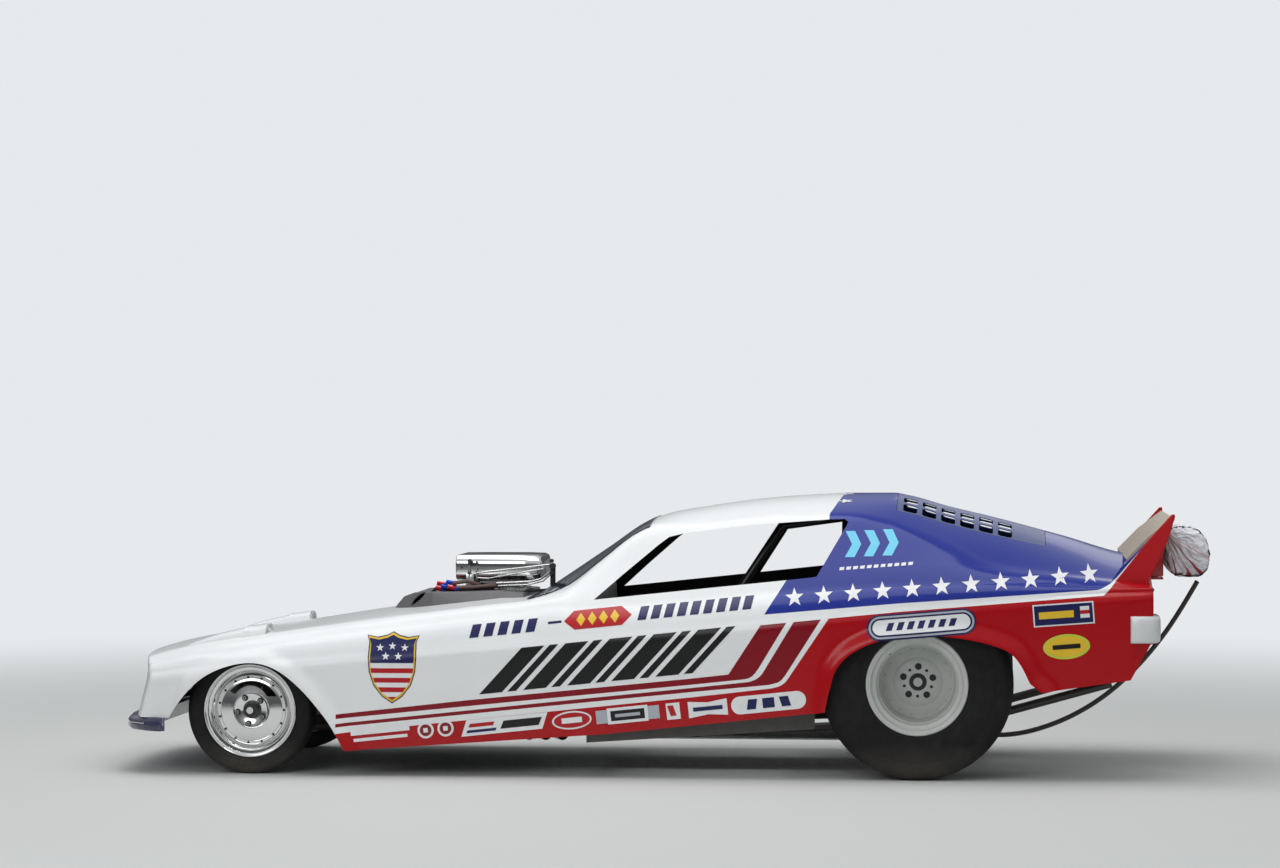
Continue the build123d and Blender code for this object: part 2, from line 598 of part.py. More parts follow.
def make_axles():
    housing = rod((0, -360, REAR_AXLE_Z), (0, 360, REAR_AXLE_Z), 42)
    centre = Pos(0, 0, REAR_AXLE_Z) * Sphere(140)
    nose = rod((0, 0, REAR_AXLE_Z), (170, 0, 400), 70)
    bore = rod((0, -500, REAR_AXLE_Z), (0, 500, REAR_AXLE_Z), AXLE_SHAFT_RADIUS + RUNNING_GAP)
    save(fuse([housing, centre, nose]) - bore, "rear_axle_housing")

    boss_z0, boss_z1 = FRONT_AXLE_Z - 34, FRONT_AXLE_Z + 34
    beam = rod((WHEELBASE, -KINGPIN_Y, FRONT_AXLE_Z), (WHEELBASE, KINGPIN_Y, FRONT_AXLE_Z),
               AXLE_BEAM_RADIUS)
    boss = rod((WHEELBASE, KINGPIN_Y, boss_z0), (WHEELBASE, KINGPIN_Y, boss_z1), 28)
    pin = rod((WHEELBASE, KINGPIN_Y, boss_z0 - 26), (WHEELBASE, KINGPIN_Y, boss_z1 + 26), 10)
    save(fuse([beam] + both_sides(boss) + both_sides(pin)), "front_axle")

    gap = RUNNING_GAP
    for side, sign in (("left", 1), ("right", -1)):
        ears = []
        for z0, z1 in ((boss_z0 - 20, boss_z0 - 1), (boss_z1 + 1, boss_z1 + 20)):
            ears.append(rod((WHEELBASE, KINGPIN_Y, z0), (WHEELBASE, KINGPIN_Y, z1), 26))
            ears.append(block(WHEELBASE - 22, WHEELBASE + 22, KINGPIN_Y, KINGPIN_Y + 44, z0, z1))
        web = block(WHEELBASE - 22, WHEELBASE + 22, KINGPIN_Y + 32, KINGPIN_Y + 44,
                    boss_z0 - 20, boss_z1 + 20)
        arm = block(WHEELBASE - STEERING_ARM - 14, WHEELBASE, KINGPIN_Y - 14, KINGPIN_Y + 14,
                    boss_z0 - 20, boss_z0 - 8)
        spindle = rod((WHEELBASE, KINGPIN_Y + 40, FRONT_AXLE_Z),
                      (WHEELBASE, FRONT_WHEEL_Y + FRONT_TYRE_WIDTH / 2 - RIM_EDGE + 6, FRONT_AXLE_Z),
                      SPINDLE_RADIUS)
        bore = rod((WHEELBASE, KINGPIN_Y, 0), (WHEELBASE, KINGPIN_Y, 600), 10 + gap)
        keep_out = rod((WHEELBASE, KINGPIN_Y, boss_z0 - 1), (WHEELBASE, KINGPIN_Y, boss_z1 + 1), 30)
        knuckle = fuse(ears + [web, arm, spindle]).cut(bore, keep_out)
        save(knuckle if sign > 0 else knuckle.mirror(Plane.XZ), f"knuckle_{side}")
    z = boss_z0 - 20 - 3 - 9
    rod_x = WHEELBASE - STEERING_ARM
    save(rod((rod_x, -KINGPIN_Y, z), (rod_x, KINGPIN_Y, z), 9), "tie_rod")


def make_steering_wheel():
    rim = Solid.make_torus(140, 11)
    spokes = [Rot(0, 0, a) * block(0, 140, -12, 12, -3, 3) for a in (90, 210, 330)]
    hub = Cylinder(28, 24)
    wheel = fuse([rim, hub] + spokes)
    lean = Plane(origin=(960, 0, 646), z_dir=Vector(985 - 1300, 0, 640 - 560))
    save(lean * wheel, "steering_wheel")


# Parachute tether, from the axle housing out below the tail and up to the pack
TETHER_ROUTE = [(-150, 0, 205), (-290, 0, 135), (-450, 0, 142), (-620, 0, 195), (-780, 0, 280),
                (-920, 0, 392), (-1050, 0, 535), (-1160, 0, 690), (-1245, 0, 840)]


def make_tether():
    points = [Vector(*p) for p in TETHER_ROUTE]
    radii = []
    for a, b, c in zip(points, points[1:], points[2:]):
        turn = (b - a).get_angle(c - b)
        radii.append(0.45 * min((b - a).length, (c - b).length) / tan(radians(turn / 2)))
    print("tether bend radii", [round(r) for r in radii])
    path = FilletPolyline(*points, radius=radii)
    plane = Plane(origin=path @ 0, z_dir=path % 0)
    tether = sweep(plane * Circle(TETHER_RADIUS), path=path)
    print("tether length", round(path.length), "volume share",
          round(tether.volume / (pi * TETHER_RADIUS ** 2 * path.length), 4))
    save(tether, "parachute_tether")


outer_body = make_body()
make_cowl(outer_body)
make_front()
make_tail(outer_body)
make_chassis()
make_engine()
make_axles()
make_wheels()
make_steering_wheel()
make_tether()
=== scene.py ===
from math import atan2, cos, pi, radians, sin

import bmesh
import bpy
from mathutils import Matrix, Vector, noise
from mathutils.bvhtree import BVHTree


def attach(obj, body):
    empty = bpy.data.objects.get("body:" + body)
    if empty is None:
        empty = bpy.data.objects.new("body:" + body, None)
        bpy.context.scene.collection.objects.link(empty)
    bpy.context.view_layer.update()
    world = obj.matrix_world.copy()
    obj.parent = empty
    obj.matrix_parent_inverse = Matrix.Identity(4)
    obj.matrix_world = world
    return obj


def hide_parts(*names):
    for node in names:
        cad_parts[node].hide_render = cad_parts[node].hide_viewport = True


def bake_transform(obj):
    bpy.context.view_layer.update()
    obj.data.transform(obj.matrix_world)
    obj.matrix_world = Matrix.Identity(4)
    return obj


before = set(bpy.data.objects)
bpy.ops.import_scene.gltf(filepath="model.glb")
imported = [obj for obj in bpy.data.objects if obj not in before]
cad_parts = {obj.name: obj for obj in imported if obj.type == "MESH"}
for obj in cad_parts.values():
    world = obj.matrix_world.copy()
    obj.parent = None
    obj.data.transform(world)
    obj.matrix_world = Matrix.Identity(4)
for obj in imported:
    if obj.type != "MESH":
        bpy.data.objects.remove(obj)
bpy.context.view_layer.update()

# Lengths along X are measured from the rear axle, as in the part's source, and each piece
# moves by REAR_AXLE_X when it is put in place. Metres, +X forward, +Y left, +Z up.
REAR_AXLE_X = -1.14
FRONT_AXLE_X = 2.95
scene = bpy.context.scene

# The view: a little above the roof, square to the driver's side, from seventeen metres away.
# Plain pale floor, one wide soft light overhead, and weaker ones from both sides.


def linked(name, data):
    """A new object in the scene."""
    thing = bpy.data.objects.new(name, data)
    scene.collection.objects.link(thing)
    return thing


camera = linked("camera", bpy.data.cameras.new("camera"))
camera.data.sensor_width = 36
camera.data.lens = 106.875
camera.data.clip_end = 400
camera.location = (-1.4976, 17.304, 1.5933)
camera.rotation_euler = Vector((0.0943, -0.9955, -0.00526)).to_track_quat("-Z", "Y").to_euler()
scene.camera = camera
scene.view_settings.view_transform = "Standard"
for name, place, aim_z, size, watts in (("overhead_light", (0.5, 0.5, 7.0), 0.4, (9, 5), 350),
                                        ("side_light", (3.5, 9.0, 4.5), 0.5, (6, 3), 165),
                                        ("far_side_light", (-4.0, -8.0, 4.0), 0.5, (6, 3), 35)):
    light = linked(name, bpy.data.lights.new(name, "AREA"))
    light.data.shape = "RECTANGLE"
    light.data.size, light.data.size_y = size
    light.data.energy = watts
    light.location = place
    light.rotation_euler = (Vector((0, 0, aim_z)) - Vector(place)).to_track_quat("-Z", "Y").to_euler()


def new_material(name):
    """A material with its node tree and its surface shader."""
    material = bpy.data.materials.new(name)
    material.use_nodes = True
    return material, material.node_tree, material.node_tree.nodes["Principled BSDF"]


def connect(node, **inputs):
    """Gives a shader node its settings and its inputs, which are values or others' outputs."""
    for key, value in inputs.items():
        if key.startswith("set_"):
            setattr(node, key[4:], value)
            continue
        socket = node.inputs[int(key[3:]) if key.startswith("in_") else key.replace("_", " ")]
        if isinstance(value, bpy.types.NodeSocket):
            node.id_data.links.new(value, socket)
        else:
            socket.default_value = value
    return node


def wire(tree, kind, **inputs):
    return connect(tree.nodes.new("ShaderNode" + kind), **inputs)


def maths(tree, operation, a, b=0.0):
    return wire(tree, "Math", set_operation=operation, in_0=a, in_1=b).outputs[0]


def times(tree, a, b):
    return maths(tree, "MULTIPLY", a, b)


def mixed(tree, share, low, high):
    """A colour between two others."""
    return wire(tree, "Mix", set_data_type="RGBA", in_0=share, in_6=low, in_7=high).outputs[2]


def ramp(tree, value, start, end, low=0.0, high=1.0, smooth=False):
    """A value carried over from one range to another, and held at its ends."""
    kind = "SMOOTHSTEP" if smooth else "LINEAR"
    return wire(tree, "MapRange", set_interpolation_type=kind, Value=value, From_Min=start,
                From_Max=end, To_Min=low, To_Max=high).outputs[0]


def object_place(tree):
    return wire(tree, "TexCoord").outputs["Object"]


def clouds(tree, place, scale, detail=2.0, roughness=0.5):
    """A soft random pattern from 0 to 1."""
    return wire(tree, "TexNoise", Vector=place, Scale=scale, Detail=detail,
                Roughness=roughness).outputs[0]


def relief(tree, strength, distance, height):
    """A surface direction tilted by the slope of a height."""
    return wire(tree, "Bump", Strength=strength, Distance=distance, Height=height).outputs[0]


def colour(red, green, blue):
    return (red, green, blue, 1.0)


def to_mesh(bm, name="part"):
    mesh = bpy.data.meshes.new(name)
    bm.to_mesh(mesh)
    bm.free()
    return mesh


floor_bmesh = bmesh.new()
bmesh.ops.create_grid(floor_bmesh, x_segments=1, y_segments=1, size=150)
floor = linked("floor", to_mesh(floor_bmesh, "floor"))
floor_paper, tree, shader = new_material("floor_paper")
connect(shader, Base_Color=colour(0.6, 0.61, 0.6), Roughness=0.8)
away = wire(tree, "VectorMath", set_operation="LENGTH", in_0=object_place(tree)).outputs["Value"]
far = ramp(tree, away, 3.2, 11.0, smooth=True)
seen_straight = wire(tree, "LightPath").outputs["Is Camera Ray"]
backdrop = wire(tree, "Emission", Color=colour(0.8, 0.82, 0.84),
                Strength=maths(tree, "ADD", 0.22, times(tree, seen_straight, 0.78)))
floor_mix = wire(tree, "MixShader", in_0=far, in_1=shader.outputs[0], in_2=backdrop.outputs[0])
connect(tree.nodes["Material Output"], Surface=floor_mix.outputs[0])
floor.data.materials.append(floor_paper)

world = bpy.data.worlds.new("studio")
scene.world = world
world.use_nodes = True
tree = world.node_tree
ray = wire(tree, "LightPath").outputs
seen = maths(tree, "MAXIMUM", ray["Is Camera Ray"], ray["Is Transmission Ray"])
direction = wire(tree, "SeparateXYZ", Vector=wire(tree, "TexCoord").outputs["Generated"])
sky = ramp(tree, direction.outputs["Z"], 0.02, 0.5, 0.09, 0.6, smooth=True)
mirrored = mixed(tree, ray["Is Glossy Ray"], colour(0.44, 0.44, 0.44), sky)
strength = wire(tree, "Mix", set_data_type="FLOAT", in_0=seen, in_2=mirrored, in_3=0.84)
connect(tree.nodes["Background"], Color=colour(0.95, 0.975, 1.0), Strength=strength.outputs[0])

# Finishes that several pieces share: a fine grain, and dust that settles low on the car.
# Each is a group that puts out a mask or a height only.


def effect_group(name, inputs, outputs):
    group = bpy.data.node_groups.new(name, "ShaderNodeTree")
    for label, kind in inputs:
        group.interface.new_socket(label, in_out="INPUT", socket_type=kind)
    for label, kind in outputs:
        group.interface.new_socket(label, in_out="OUTPUT", socket_type=kind)
    return group, group.nodes.new("NodeGroupInput"), group.nodes.new("NodeGroupOutput")


road_dust, given, result = effect_group(
    "road_dust", [("Height", "NodeSocketFloat"), ("Amount", "NodeSocketFloat")],
    [("Mask", "NodeSocketFloat")])
place = object_place(road_dust)
up = wire(road_dust, "SeparateXYZ", Vector=place).outputs["Z"]
fall = maths(road_dust, "SUBTRACT", 1.0, maths(road_dust, "DIVIDE", up, given.outputs["Height"]))
low_down = wire(road_dust, "Clamp", Value=fall).outputs[0]
patches = maths(road_dust, "MULTIPLY", clouds(road_dust, place, 9.0, 6.0, 0.62), given.outputs["Amount"])
connect(result, Mask=maths(road_dust, "MULTIPLY", low_down, patches))

fine_grain, given, result = effect_group(
    "fine_grain", [("Scale", "NodeSocketFloat")],
    [("Mask", "NodeSocketFloat"), ("Height", "NodeSocketFloat")])
place = object_place(fine_grain)
seven_times = maths(fine_grain, "MULTIPLY", given.outputs["Scale"], 7.0)
connect(result, Mask=clouds(fine_grain, place, given.outputs["Scale"], 5.0, 0.55),
        Height=clouds(fine_grain, place, seven_times))


def grain_on(tree, scale):
    return wire(tree, "Group", set_node_tree=fine_grain, Scale=scale).outputs


def dust_on(tree, height, amount):
    """The share of dust on a finish, from none at a height to the whole amount at the floor."""
    return wire(tree, "Group", set_node_tree=road_dust, Height=height, Amount=amount).outputs["Mask"]


def finish(name, base, roughness, metallic=0.0, grain=40.0, spread=0.12, bump=0.02, coat=0.0,
           dust=0.0, dust_height=0.6):
    """A finish with slight changes of shade and gloss, a fine grain, and dust low down."""
    material, tree, shader = new_material(name)
    grained = grain_on(tree, grain)
    dusty = dust_on(tree, dust_height, dust)
    darker = colour(*[value * (1 - spread) for value in base])
    lighter = colour(*[min(1.0, value * (1 + spread)) for value in base])
    shade = mixed(tree, grained["Mask"], darker, lighter)
    gloss = ramp(tree, grained["Mask"], 0, 1, max(0.02, roughness * 0.8), min(1.0, roughness * 1.25))
    connect(shader, Base_Color=mixed(tree, dusty, shade, colour(0.3, 0.27, 0.22)),
            Roughness=maths(tree, "ADD", gloss, times(tree, dusty, 0.4)),
            Normal=relief(tree, bump, 0.002, grained["Height"]),
            Metallic=metallic, Coat_Weight=coat, Coat_Roughness=0.05)
    return material


def opened(*meshes):
    """A bmesh that holds these meshes."""
    bm = bmesh.new()
    for mesh in meshes:
        bm.from_mesh(mesh)
    return bm


def put_in_place(mesh_or_bmesh, name, body, materials, sharp=35, moved=True):
    """Makes a mesh into a finished piece: smooth within its edges, in place, on its body."""
    bm = opened(mesh_or_bmesh) if isinstance(mesh_or_bmesh, bpy.types.Mesh) else mesh_or_bmesh
    if moved:
        bmesh.ops.translate(bm, verts=bm.verts[:], vec=(REAR_AXLE_X, 0, 0))
    for face in bm.faces:
        face.smooth = True
    for edge in bm.edges:
        edge.smooth = len(edge.link_faces) != 2 or edge.calc_face_angle(0) < radians(sharp)
    mesh = to_mesh(bm, name)
    for material in materials:
        mesh.materials.append(material)
    piece = linked(name, mesh)
    if body:
        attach(piece, body)
    return piece


# The webbing tether of the parachute, from below the axle housing out and up to the pack.
# It sags between its two ends.
TETHER_DIAMETER = 0.022
TETHER_ROUTE = [(-0.15, 0, 0.205), (-0.29, 0, 0.135), (-0.45, 0, 0.142), (-0.62, 0, 0.195),
                (-0.78, 0, 0.28), (-0.92, 0, 0.392), (-1.05, 0, 0.535), (-1.16, 0, 0.69),
                (-1.245, 0, 0.84)]


def smooth_line(name, route, bevel=0.0):
    """A curve object with one smooth line through the route's points."""
    curve = bpy.data.curves.new(name, "CURVE")
    curve.dimensions = "3D"
    line = curve.splines.new("NURBS")
    line.points.add(len(route) - 1)
    for point, (x, y, z) in zip(line.points, route):
        point.co = (x + REAR_AXLE_X, y, z, 1)
    line.order_u = 3
    line.use_endpoint_u = True
    line.resolution_u = 12
    curve.bevel_depth = bevel
    curve.bevel_resolution = 5
    curve.use_fill_caps = bevel > 0
    return bpy.data.objects.new(name, curve)


def path_points(route):
    """Points along the smooth line, read back from the curve itself."""
    line = smooth_line("centre_line", route)
    mesh = bpy.data.meshes.new_from_object(line)
    points = [vertex.co.copy() for vertex in mesh.vertices]
    bpy.data.objects.remove(line)
    bpy.data.meshes.remove(mesh)
    return points


tether_curve = smooth_line("tether_curve", TETHER_ROUTE, TETHER_DIAMETER / 2)
tether_mesh = bpy.data.meshes.new_from_object(tether_curve)
bpy.data.objects.remove(tether_curve)
tether_web = finish("tether_web", (0.055, 0.055, 0.06), 0.85, grain=160, spread=0.35, bump=0.25,
                    dust=0.5, dust_height=0.9)
tether = put_in_place(tether_mesh, "tether", None, [tether_web], moved=False)
tether_line = path_points(TETHER_ROUTE)
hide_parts("parachute_tether")
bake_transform(tether)

# The body is one moulding in glass fibre, nose to tail, eight millimetres thick. Each row
# below is a section across it; the shell is laid over them, and its openings are cut after.
SIDES = [
    # x, sill half width, crease half width, crease z, shoulder half width, shoulder z
    (3.620, 0.680, 0.700, 0.412, 0.620, 0.452),
    (3.360, 0.772, 0.786, 0.440, 0.655, 0.534),
    (3.235, 0.782, 0.796, 0.450, 0.662, 0.560),
    (2.861, 0.786, 0.798, 0.483, 0.672, 0.619),
    (2.450, 0.788, 0.802, 0.518, 0.680, 0.674),
    (1.712, 0.786, 0.800, 0.583, 0.684, 0.764),
    (1.100, 0.800, 0.812, 0.636, 0.688, 0.806),
    (0.500, 0.822, 0.830, 0.689, 0.712, 0.866),
    (-0.200, 0.828, 0.836, 0.750, 0.748, 0.900),
    (-0.640, 0.818, 0.828, 0.788, 0.740, 0.880),
    (-1.100, 0.800, 0.812, 0.828, 0.716, 0.844),
]
TOPS = [
    # x, roof edge half width, roof edge z, crown z
    (3.620, 0.520, 0.456, 0.462),
    (3.360, 0.550, 0.540, 0.550),
    (3.235, 0.555, 0.566, 0.577),
    (2.861, 0.560, 0.624, 0.634),
    (2.450, 0.565, 0.684, 0.700),
    (1.900, 0.575, 0.752, 0.768),
    (1.702, 0.590, 0.775, 0.790),
    (1.690, 0.596, 0.778, 0.798),
    (1.640, 0.610, 0.786, 0.832),
    (1.578, 0.620, 0.800, 0.874),
    (1.400, 0.549, 0.940, 0.994),
    (1.236, 0.480, 1.074, 1.104),
    (1.180, 0.472, 1.096, 1.130),
    (0.980, 0.494, 1.104, 1.172),
    (0.540, 0.505, 1.146, 1.224),
    (0.310, 0.518, 1.148, 1.235),
    (0.120, 0.540, 1.116, 1.236),
    (0.050, 0.560, 1.092, 1.224),
    (-0.130, 0.608, 1.020, 1.174),
    (-0.300, 0.656, 0.944, 1.134),
    (-0.640, 0.664, 0.898, 1.044),
    (-0.934, 0.654, 0.862, 0.962),
    (-1.060, 0.648, 0.850, 0.946),
]
NOSE_X = 3.44
TAIL_X = -1.005
TAIL_LOW_Z = 0.6
BODY_WALL = 0.008
# Lower edge of the side, as (x, z)
SILL_LINE = [(3.5, 0.25), (3.27, 0.25), (3.2, 0.15), (2.509, 0.112), (1.381, 0.192),
             (0.438, 0.294), (0.4, 0.3), (-0.543, 0.391), (-0.919, 0.445), (-1.005, 0.6)]


def along(rows, x, column):
    """A value at x on the smooth curve through one column of the rows."""
    xs = [row[0] for row in rows]
    values = [row[column] for row in rows]
    if x >= xs[0]:
        return values[0]
    if x <= xs[-1]:
        return values[-1]
    i = next(k for k in range(len(xs) - 1) if xs[k + 1] <= x)
    slopes = [(values[k + 1] - values[k]) / (xs[k + 1] - xs[k]) for k in range(len(xs) - 1)]

    def slope_at(k):
        if k == 0 or k == len(xs) - 1:
            return slopes[min(k, len(slopes) - 1)]
        a, b = slopes[k - 1], slopes[k]
        if a * b <= 0:
            return 0.0
        wide, narrow = 2 * (xs[k] - xs[k + 1]), 2 * (xs[k - 1] - xs[k])
        return (wide + narrow) / (wide / a + narrow / b)

    step = xs[i + 1] - xs[i]
    t = (x - xs[i]) / step
    m0, m1 = slope_at(i) * step, slope_at(i + 1) * step
    return (values[i] * (2 * t ** 3 - 3 * t ** 2 + 1) + m0 * (t ** 3 - 2 * t ** 2 + t)
            + values[i + 1] * (3 * t ** 2 - 2 * t ** 3) + m1 * (t ** 3 - t ** 2))


def straight(line, x):
    """The height of a broken line of (x, z) points, given from the nose back."""
    for (x0, z0), (x1, z1) in zip(line, line[1:]):
        if x1 <= x <= x0:
            return z0 + (z1 - z0) * (x0 - x) / (x0 - x1)
    return line[0][1] if x > line[0][0] else line[-1][1]


# How many rows lie in each part of a section, and how large its rounded corners are
SECTION_ROWS = {"side": 26, "upper": 11, "cabin": 9, "top": 16, "corner": 5}
CORNER_REACH = {"crease": 0.03, "shoulder": 0.055, "edge": 0.06}


def section(x):
    """Half a section of the body at x, from the sill up to the centre line."""
    sill = Vector((along(SIDES, x, 1), straight(SILL_LINE, x)))
    crease = Vector((along(SIDES, x, 2), along(SIDES, x, 3)))
    shoulder = Vector((along(SIDES, x, 4), along(SIDES, x, 5)))
    edge = Vector((along(TOPS, x, 1), along(TOPS, x, 2)))
    crown = Vector((0.0, along(TOPS, x, 3)))
    top = edge.lerp(crown, 0.5)
    bow = Vector((top.x, edge.y + (crown.y - edge.y) * 0.77))
    corners = [(sill, None), (crease, "crease"), (shoulder, "shoulder"), (edge, "edge"), (bow, None)]
    points = []
    start = sill
    for i, part in enumerate(("side", "upper", "cabin")):
        corner, kind = corners[i + 1]
        after = corners[i + 2][0]
        reach = min(CORNER_REACH[kind], 0.45 * (corner - start).length, 0.45 * (after - corner).length)
        first = corner + (start - corner).normalized() * reach
        last = corner + (after - corner).normalized() * reach
        rows = SECTION_ROWS[part]
        for k in range(rows):
            t = k / rows
            point = start.lerp(first, t)
            if part == "upper":
                point += Vector((0.01, 0.008)) * 4 * t * (1 - t)
            points.append(point)
        turn = SECTION_ROWS["corner"]
        for k in range(turn):
            t = k / turn
            points.append(first * (1 - t) ** 2 + corner * 2 * t * (1 - t) + last * t ** 2)
        start = last
    rows = SECTION_ROWS["top"]
    rise = crown.y - start.y
    for k in range(rows + 1):
        t = k / rows
        points.append(Vector((start.x * (1 - t), start.y + rise * (1 - (1 - t) ** 2))))
    return points


# Wheel openings in side view: points of the edge, clockwise from its front foot
FRONT_OPENING = [(3.325, 0.05), (3.322, 0.18), (3.288, 0.27), (3.182, 0.398), (3.07, 0.468),
                 (2.937, 0.496), (2.82, 0.471), (2.708, 0.387), (2.6, 0.262), (2.54, 0.165),
                 (2.509, 0.1), (2.49, 0.02)]
REAR_OPENING = [(0.428, 0.1), (0.398, 0.3), (0.372, 0.415), (0.345, 0.49), (0.275, 0.56),
                (0.15, 0.613), (-0.036, 0.635), (-0.23, 0.617), (-0.378, 0.575), (-0.44, 0.52),
                (-0.487, 0.43), (-0.545, 0.385), (-0.56, 0.2)]


def rounded(points, cuts=6):
    """An open line rounded through its points."""
    out = []
    last = len(points) - 1
    for i in range(last):
        p0, p1 = Vector(points[max(i - 1, 0)]), Vector(points[i])
        p2, p3 = Vector(points[i + 1]), Vector(points[min(i + 2, last)])
        for k in range(cuts):
            t = k / cuts
            out.append(0.5 * (2 * p1 + (p2 - p0) * t + (2 * p0 - 5 * p1 + 4 * p2 - p3) * t * t
                              + (3 * p1 - p0 - 3 * p2 + p3) * t ** 3))
    out.append(Vector(points[-1]))
    return out


front_opening = rounded(FRONT_OPENING)
rear_opening = rounded(REAR_OPENING[:-2]) + [Vector(point) for point in REAR_OPENING[-2:]]
LIP_WIDTH, LIP_RISE = 0.075, 0.026


def reach_outside(point, line):
    """How far a side-view point lies outside a wheel opening; negative inside it."""
    nearest, side = 9.0, 1.0
    for a, b in zip(line, line[1:]):
        span = b - a
        t = max(0.0, min(1.0, (point - a).dot(span) / span.length_squared))
        gap = point - (a + span * t)
        if gap.length < nearest:
            nearest = gap.length
            side = 1.0 if span.x * gap.y - span.y * gap.x < 0 else -1.0
    return nearest * side


def lip_height(x, z, line):
    away = reach_outside(Vector((x, z)), line)
    if away > LIP_WIDTH:
        return 0.0
    if away < 0:
        return LIP_RISE
    return LIP_RISE * (0.5 + 0.5 * cos(pi * away / LIP_WIDTH))


def stations():
    """Where the sections stand: close together at the wheel openings."""
    marks = sorted({row[0] for row in TOPS if TAIL_X < row[0] < NOSE_X}
                   | {NOSE_X, TAIL_X, -0.919}, reverse=True)
    out = []
    for a, b in zip(marks, marks[1:]):
        middle = (a + b) / 2
        near = -0.62 < middle < 0.52 or 2.43 < middle < 3.44
        count = max(1, round((a - b) / (0.014 if near else 0.034)))
        out += [a + (b - a) * k / count for k in range(count)]
    return out + [TAIL_X]


def only(kind, geometry):
    """The vertices, edges or faces alone, out of what a step has made."""
    return [item for item in geometry if isinstance(item, kind)]


def grown_from(bm, edges, chain):
    """New edges beyond these edges, and the new vertices beyond the chain's own."""
    grown = bmesh.ops.extrude_edge_only(bm, edges=edges)["geom"]
    fresh = set(only(bmesh.types.BMVert, grown))
    return only(bmesh.types.BMEdge, grown), [
        next(e.other_vert(v) for e in v.link_edges if e.other_vert(v) in fresh) for v in chain]


def face_outward(bm):
    bmesh.ops.recalc_face_normals(bm, faces=bm.faces[:])


def body_skin():
    """The left half of the outer surface as one sheet, extruded from section to section."""
    bm = bmesh.new()
    xs = stations()
    chain = [bm.verts.new((xs[0], p.x, p.y)) for p in section(xs[0])]
    first_loop = [bm.edges.new(pair) for pair in zip(chain, chain[1:])]
    loop = first_loop
    for x in xs[1:]:
        loop, chain = grown_from(bm, loop, chain)
        for vertex, p in zip(chain, section(x)):
            vertex.co = (x, p.x, p.y)
    return bm, first_loop, loop


def close_end(bm, loop, turn_radius, low, forward):
    """Rounds the end of the sheet over and walls it in, down to the height low."""
    steps = 4
    ordered = sorted(dict.fromkeys(v for edge in loop for v in edge.verts),
                     key=lambda v: (v.co.z, -v.co.y))
    chain = [ordered[0]]
    left = set(loop)
    while left:
        edge = next((e for e in chain[-1].link_edges if e in left), None)
        if edge is None:
            break
        left.discard(edge)
        chain.append(edge.other_vert(chain[-1]))
    normals = []
    for i in range(len(chain)):
        a, b = chain[max(i - 1, 0)].co, chain[min(i + 1, len(chain) - 1)].co
        tangent = Vector((b.y - a.y, b.z - a.z)).normalized()
        normals.append(Vector((tangent.y, -tangent.x)))
    normals[-1] = Vector((0.0, 1.0))
    start = [v.co.copy() for v in chain]
    edges = list(loop)
    for k in range(1, steps + 1):
        angle = pi / 2 * k / steps
        inset = turn_radius * (1 - cos(angle))
        edges, chain = grown_from(bm, edges, chain)
        for vertex, place, outward in zip(chain, start, normals):
            vertex.co = (place.x + forward * turn_radius * sin(angle),
                         max(0.0, place.y - outward.x * inset), place.z - outward.y * inset)
    kept = [e for e in edges if max(v.co.z for v in e.verts) > low + 0.002]
    last = {v for e in kept for v in e.verts}
    chain = [v for v in chain if v in last]
    widths = [v.co.y for v in chain]
    strips = 12
    for k in range(1, strips + 1):
        kept, chain = grown_from(bm, kept, chain)
        for vertex, width in zip(chain, widths):
            vertex.co.y = width * (1 - k / strips)


BOW_START_X = 3.2
BOW_FORWARD, BOW_SWEEP, BOW_HALF = 0.022, 0.06, 0.66
FOOT_LEAN, LEAN_TOP_Z, LEAN_DEPTH = 0.045, 0.43, 0.18


def nose_curve(bm):
    """Bows the nose in plan, and leans its face forward towards the foot."""
    for vertex in bm.verts:
        x, y, z = vertex.co
        share = max(0.0, min(1.0, (x - BOW_START_X) / (NOSE_X - BOW_START_X)))
        if share > 0:
            share = share * share * (3 - 2 * share)
            vertex.co.x = x + share * (BOW_FORWARD - BOW_SWEEP * (abs(y) / BOW_HALF) ** 3)
            if x > NOSE_X - 0.002:
                vertex.co.x += FOOT_LEAN * max(0.0, (LEAN_TOP_Z - z) / LEAN_DEPTH)


bm, nose_loop, tail_loop = body_skin()
close_end(bm, nose_loop, 0.018, 0.2, 1)
close_end(bm, tail_loop, 0.012, TAIL_LOW_Z, -1)
bmesh.ops.remove_doubles(bm, verts=bm.verts[:], dist=0.0004)
for vertex in bm.verts:
    x, y, z = vertex.co
    if y > 0.6 and z < 0.75:
        for line, middle in ((front_opening, FRONT_AXLE_X), (rear_opening, 0.0)):
            if abs(x - middle) < 0.66:
                vertex.co.y += lip_height(x, z, line)
nose_curve(bm)
bmesh.ops.mirror(bm, geom=bm.verts[:] + bm.edges[:] + bm.faces[:], axis="Y", merge_dist=0.0005)
face_outward(bm)
roof_face = max(bm.faces, key=lambda f: f.calc_center_median().z)
if roof_face.normal.z < 0:
    bmesh.ops.reverse_faces(bm, faces=bm.faces[:])
skin_mesh = to_mesh(bm, "skin")
skin_tree = BVHTree.FromPolygons([v.co.copy() for v in skin_mesh.vertices],
                                 [tuple(p.vertices) for p in skin_mesh.polygons])


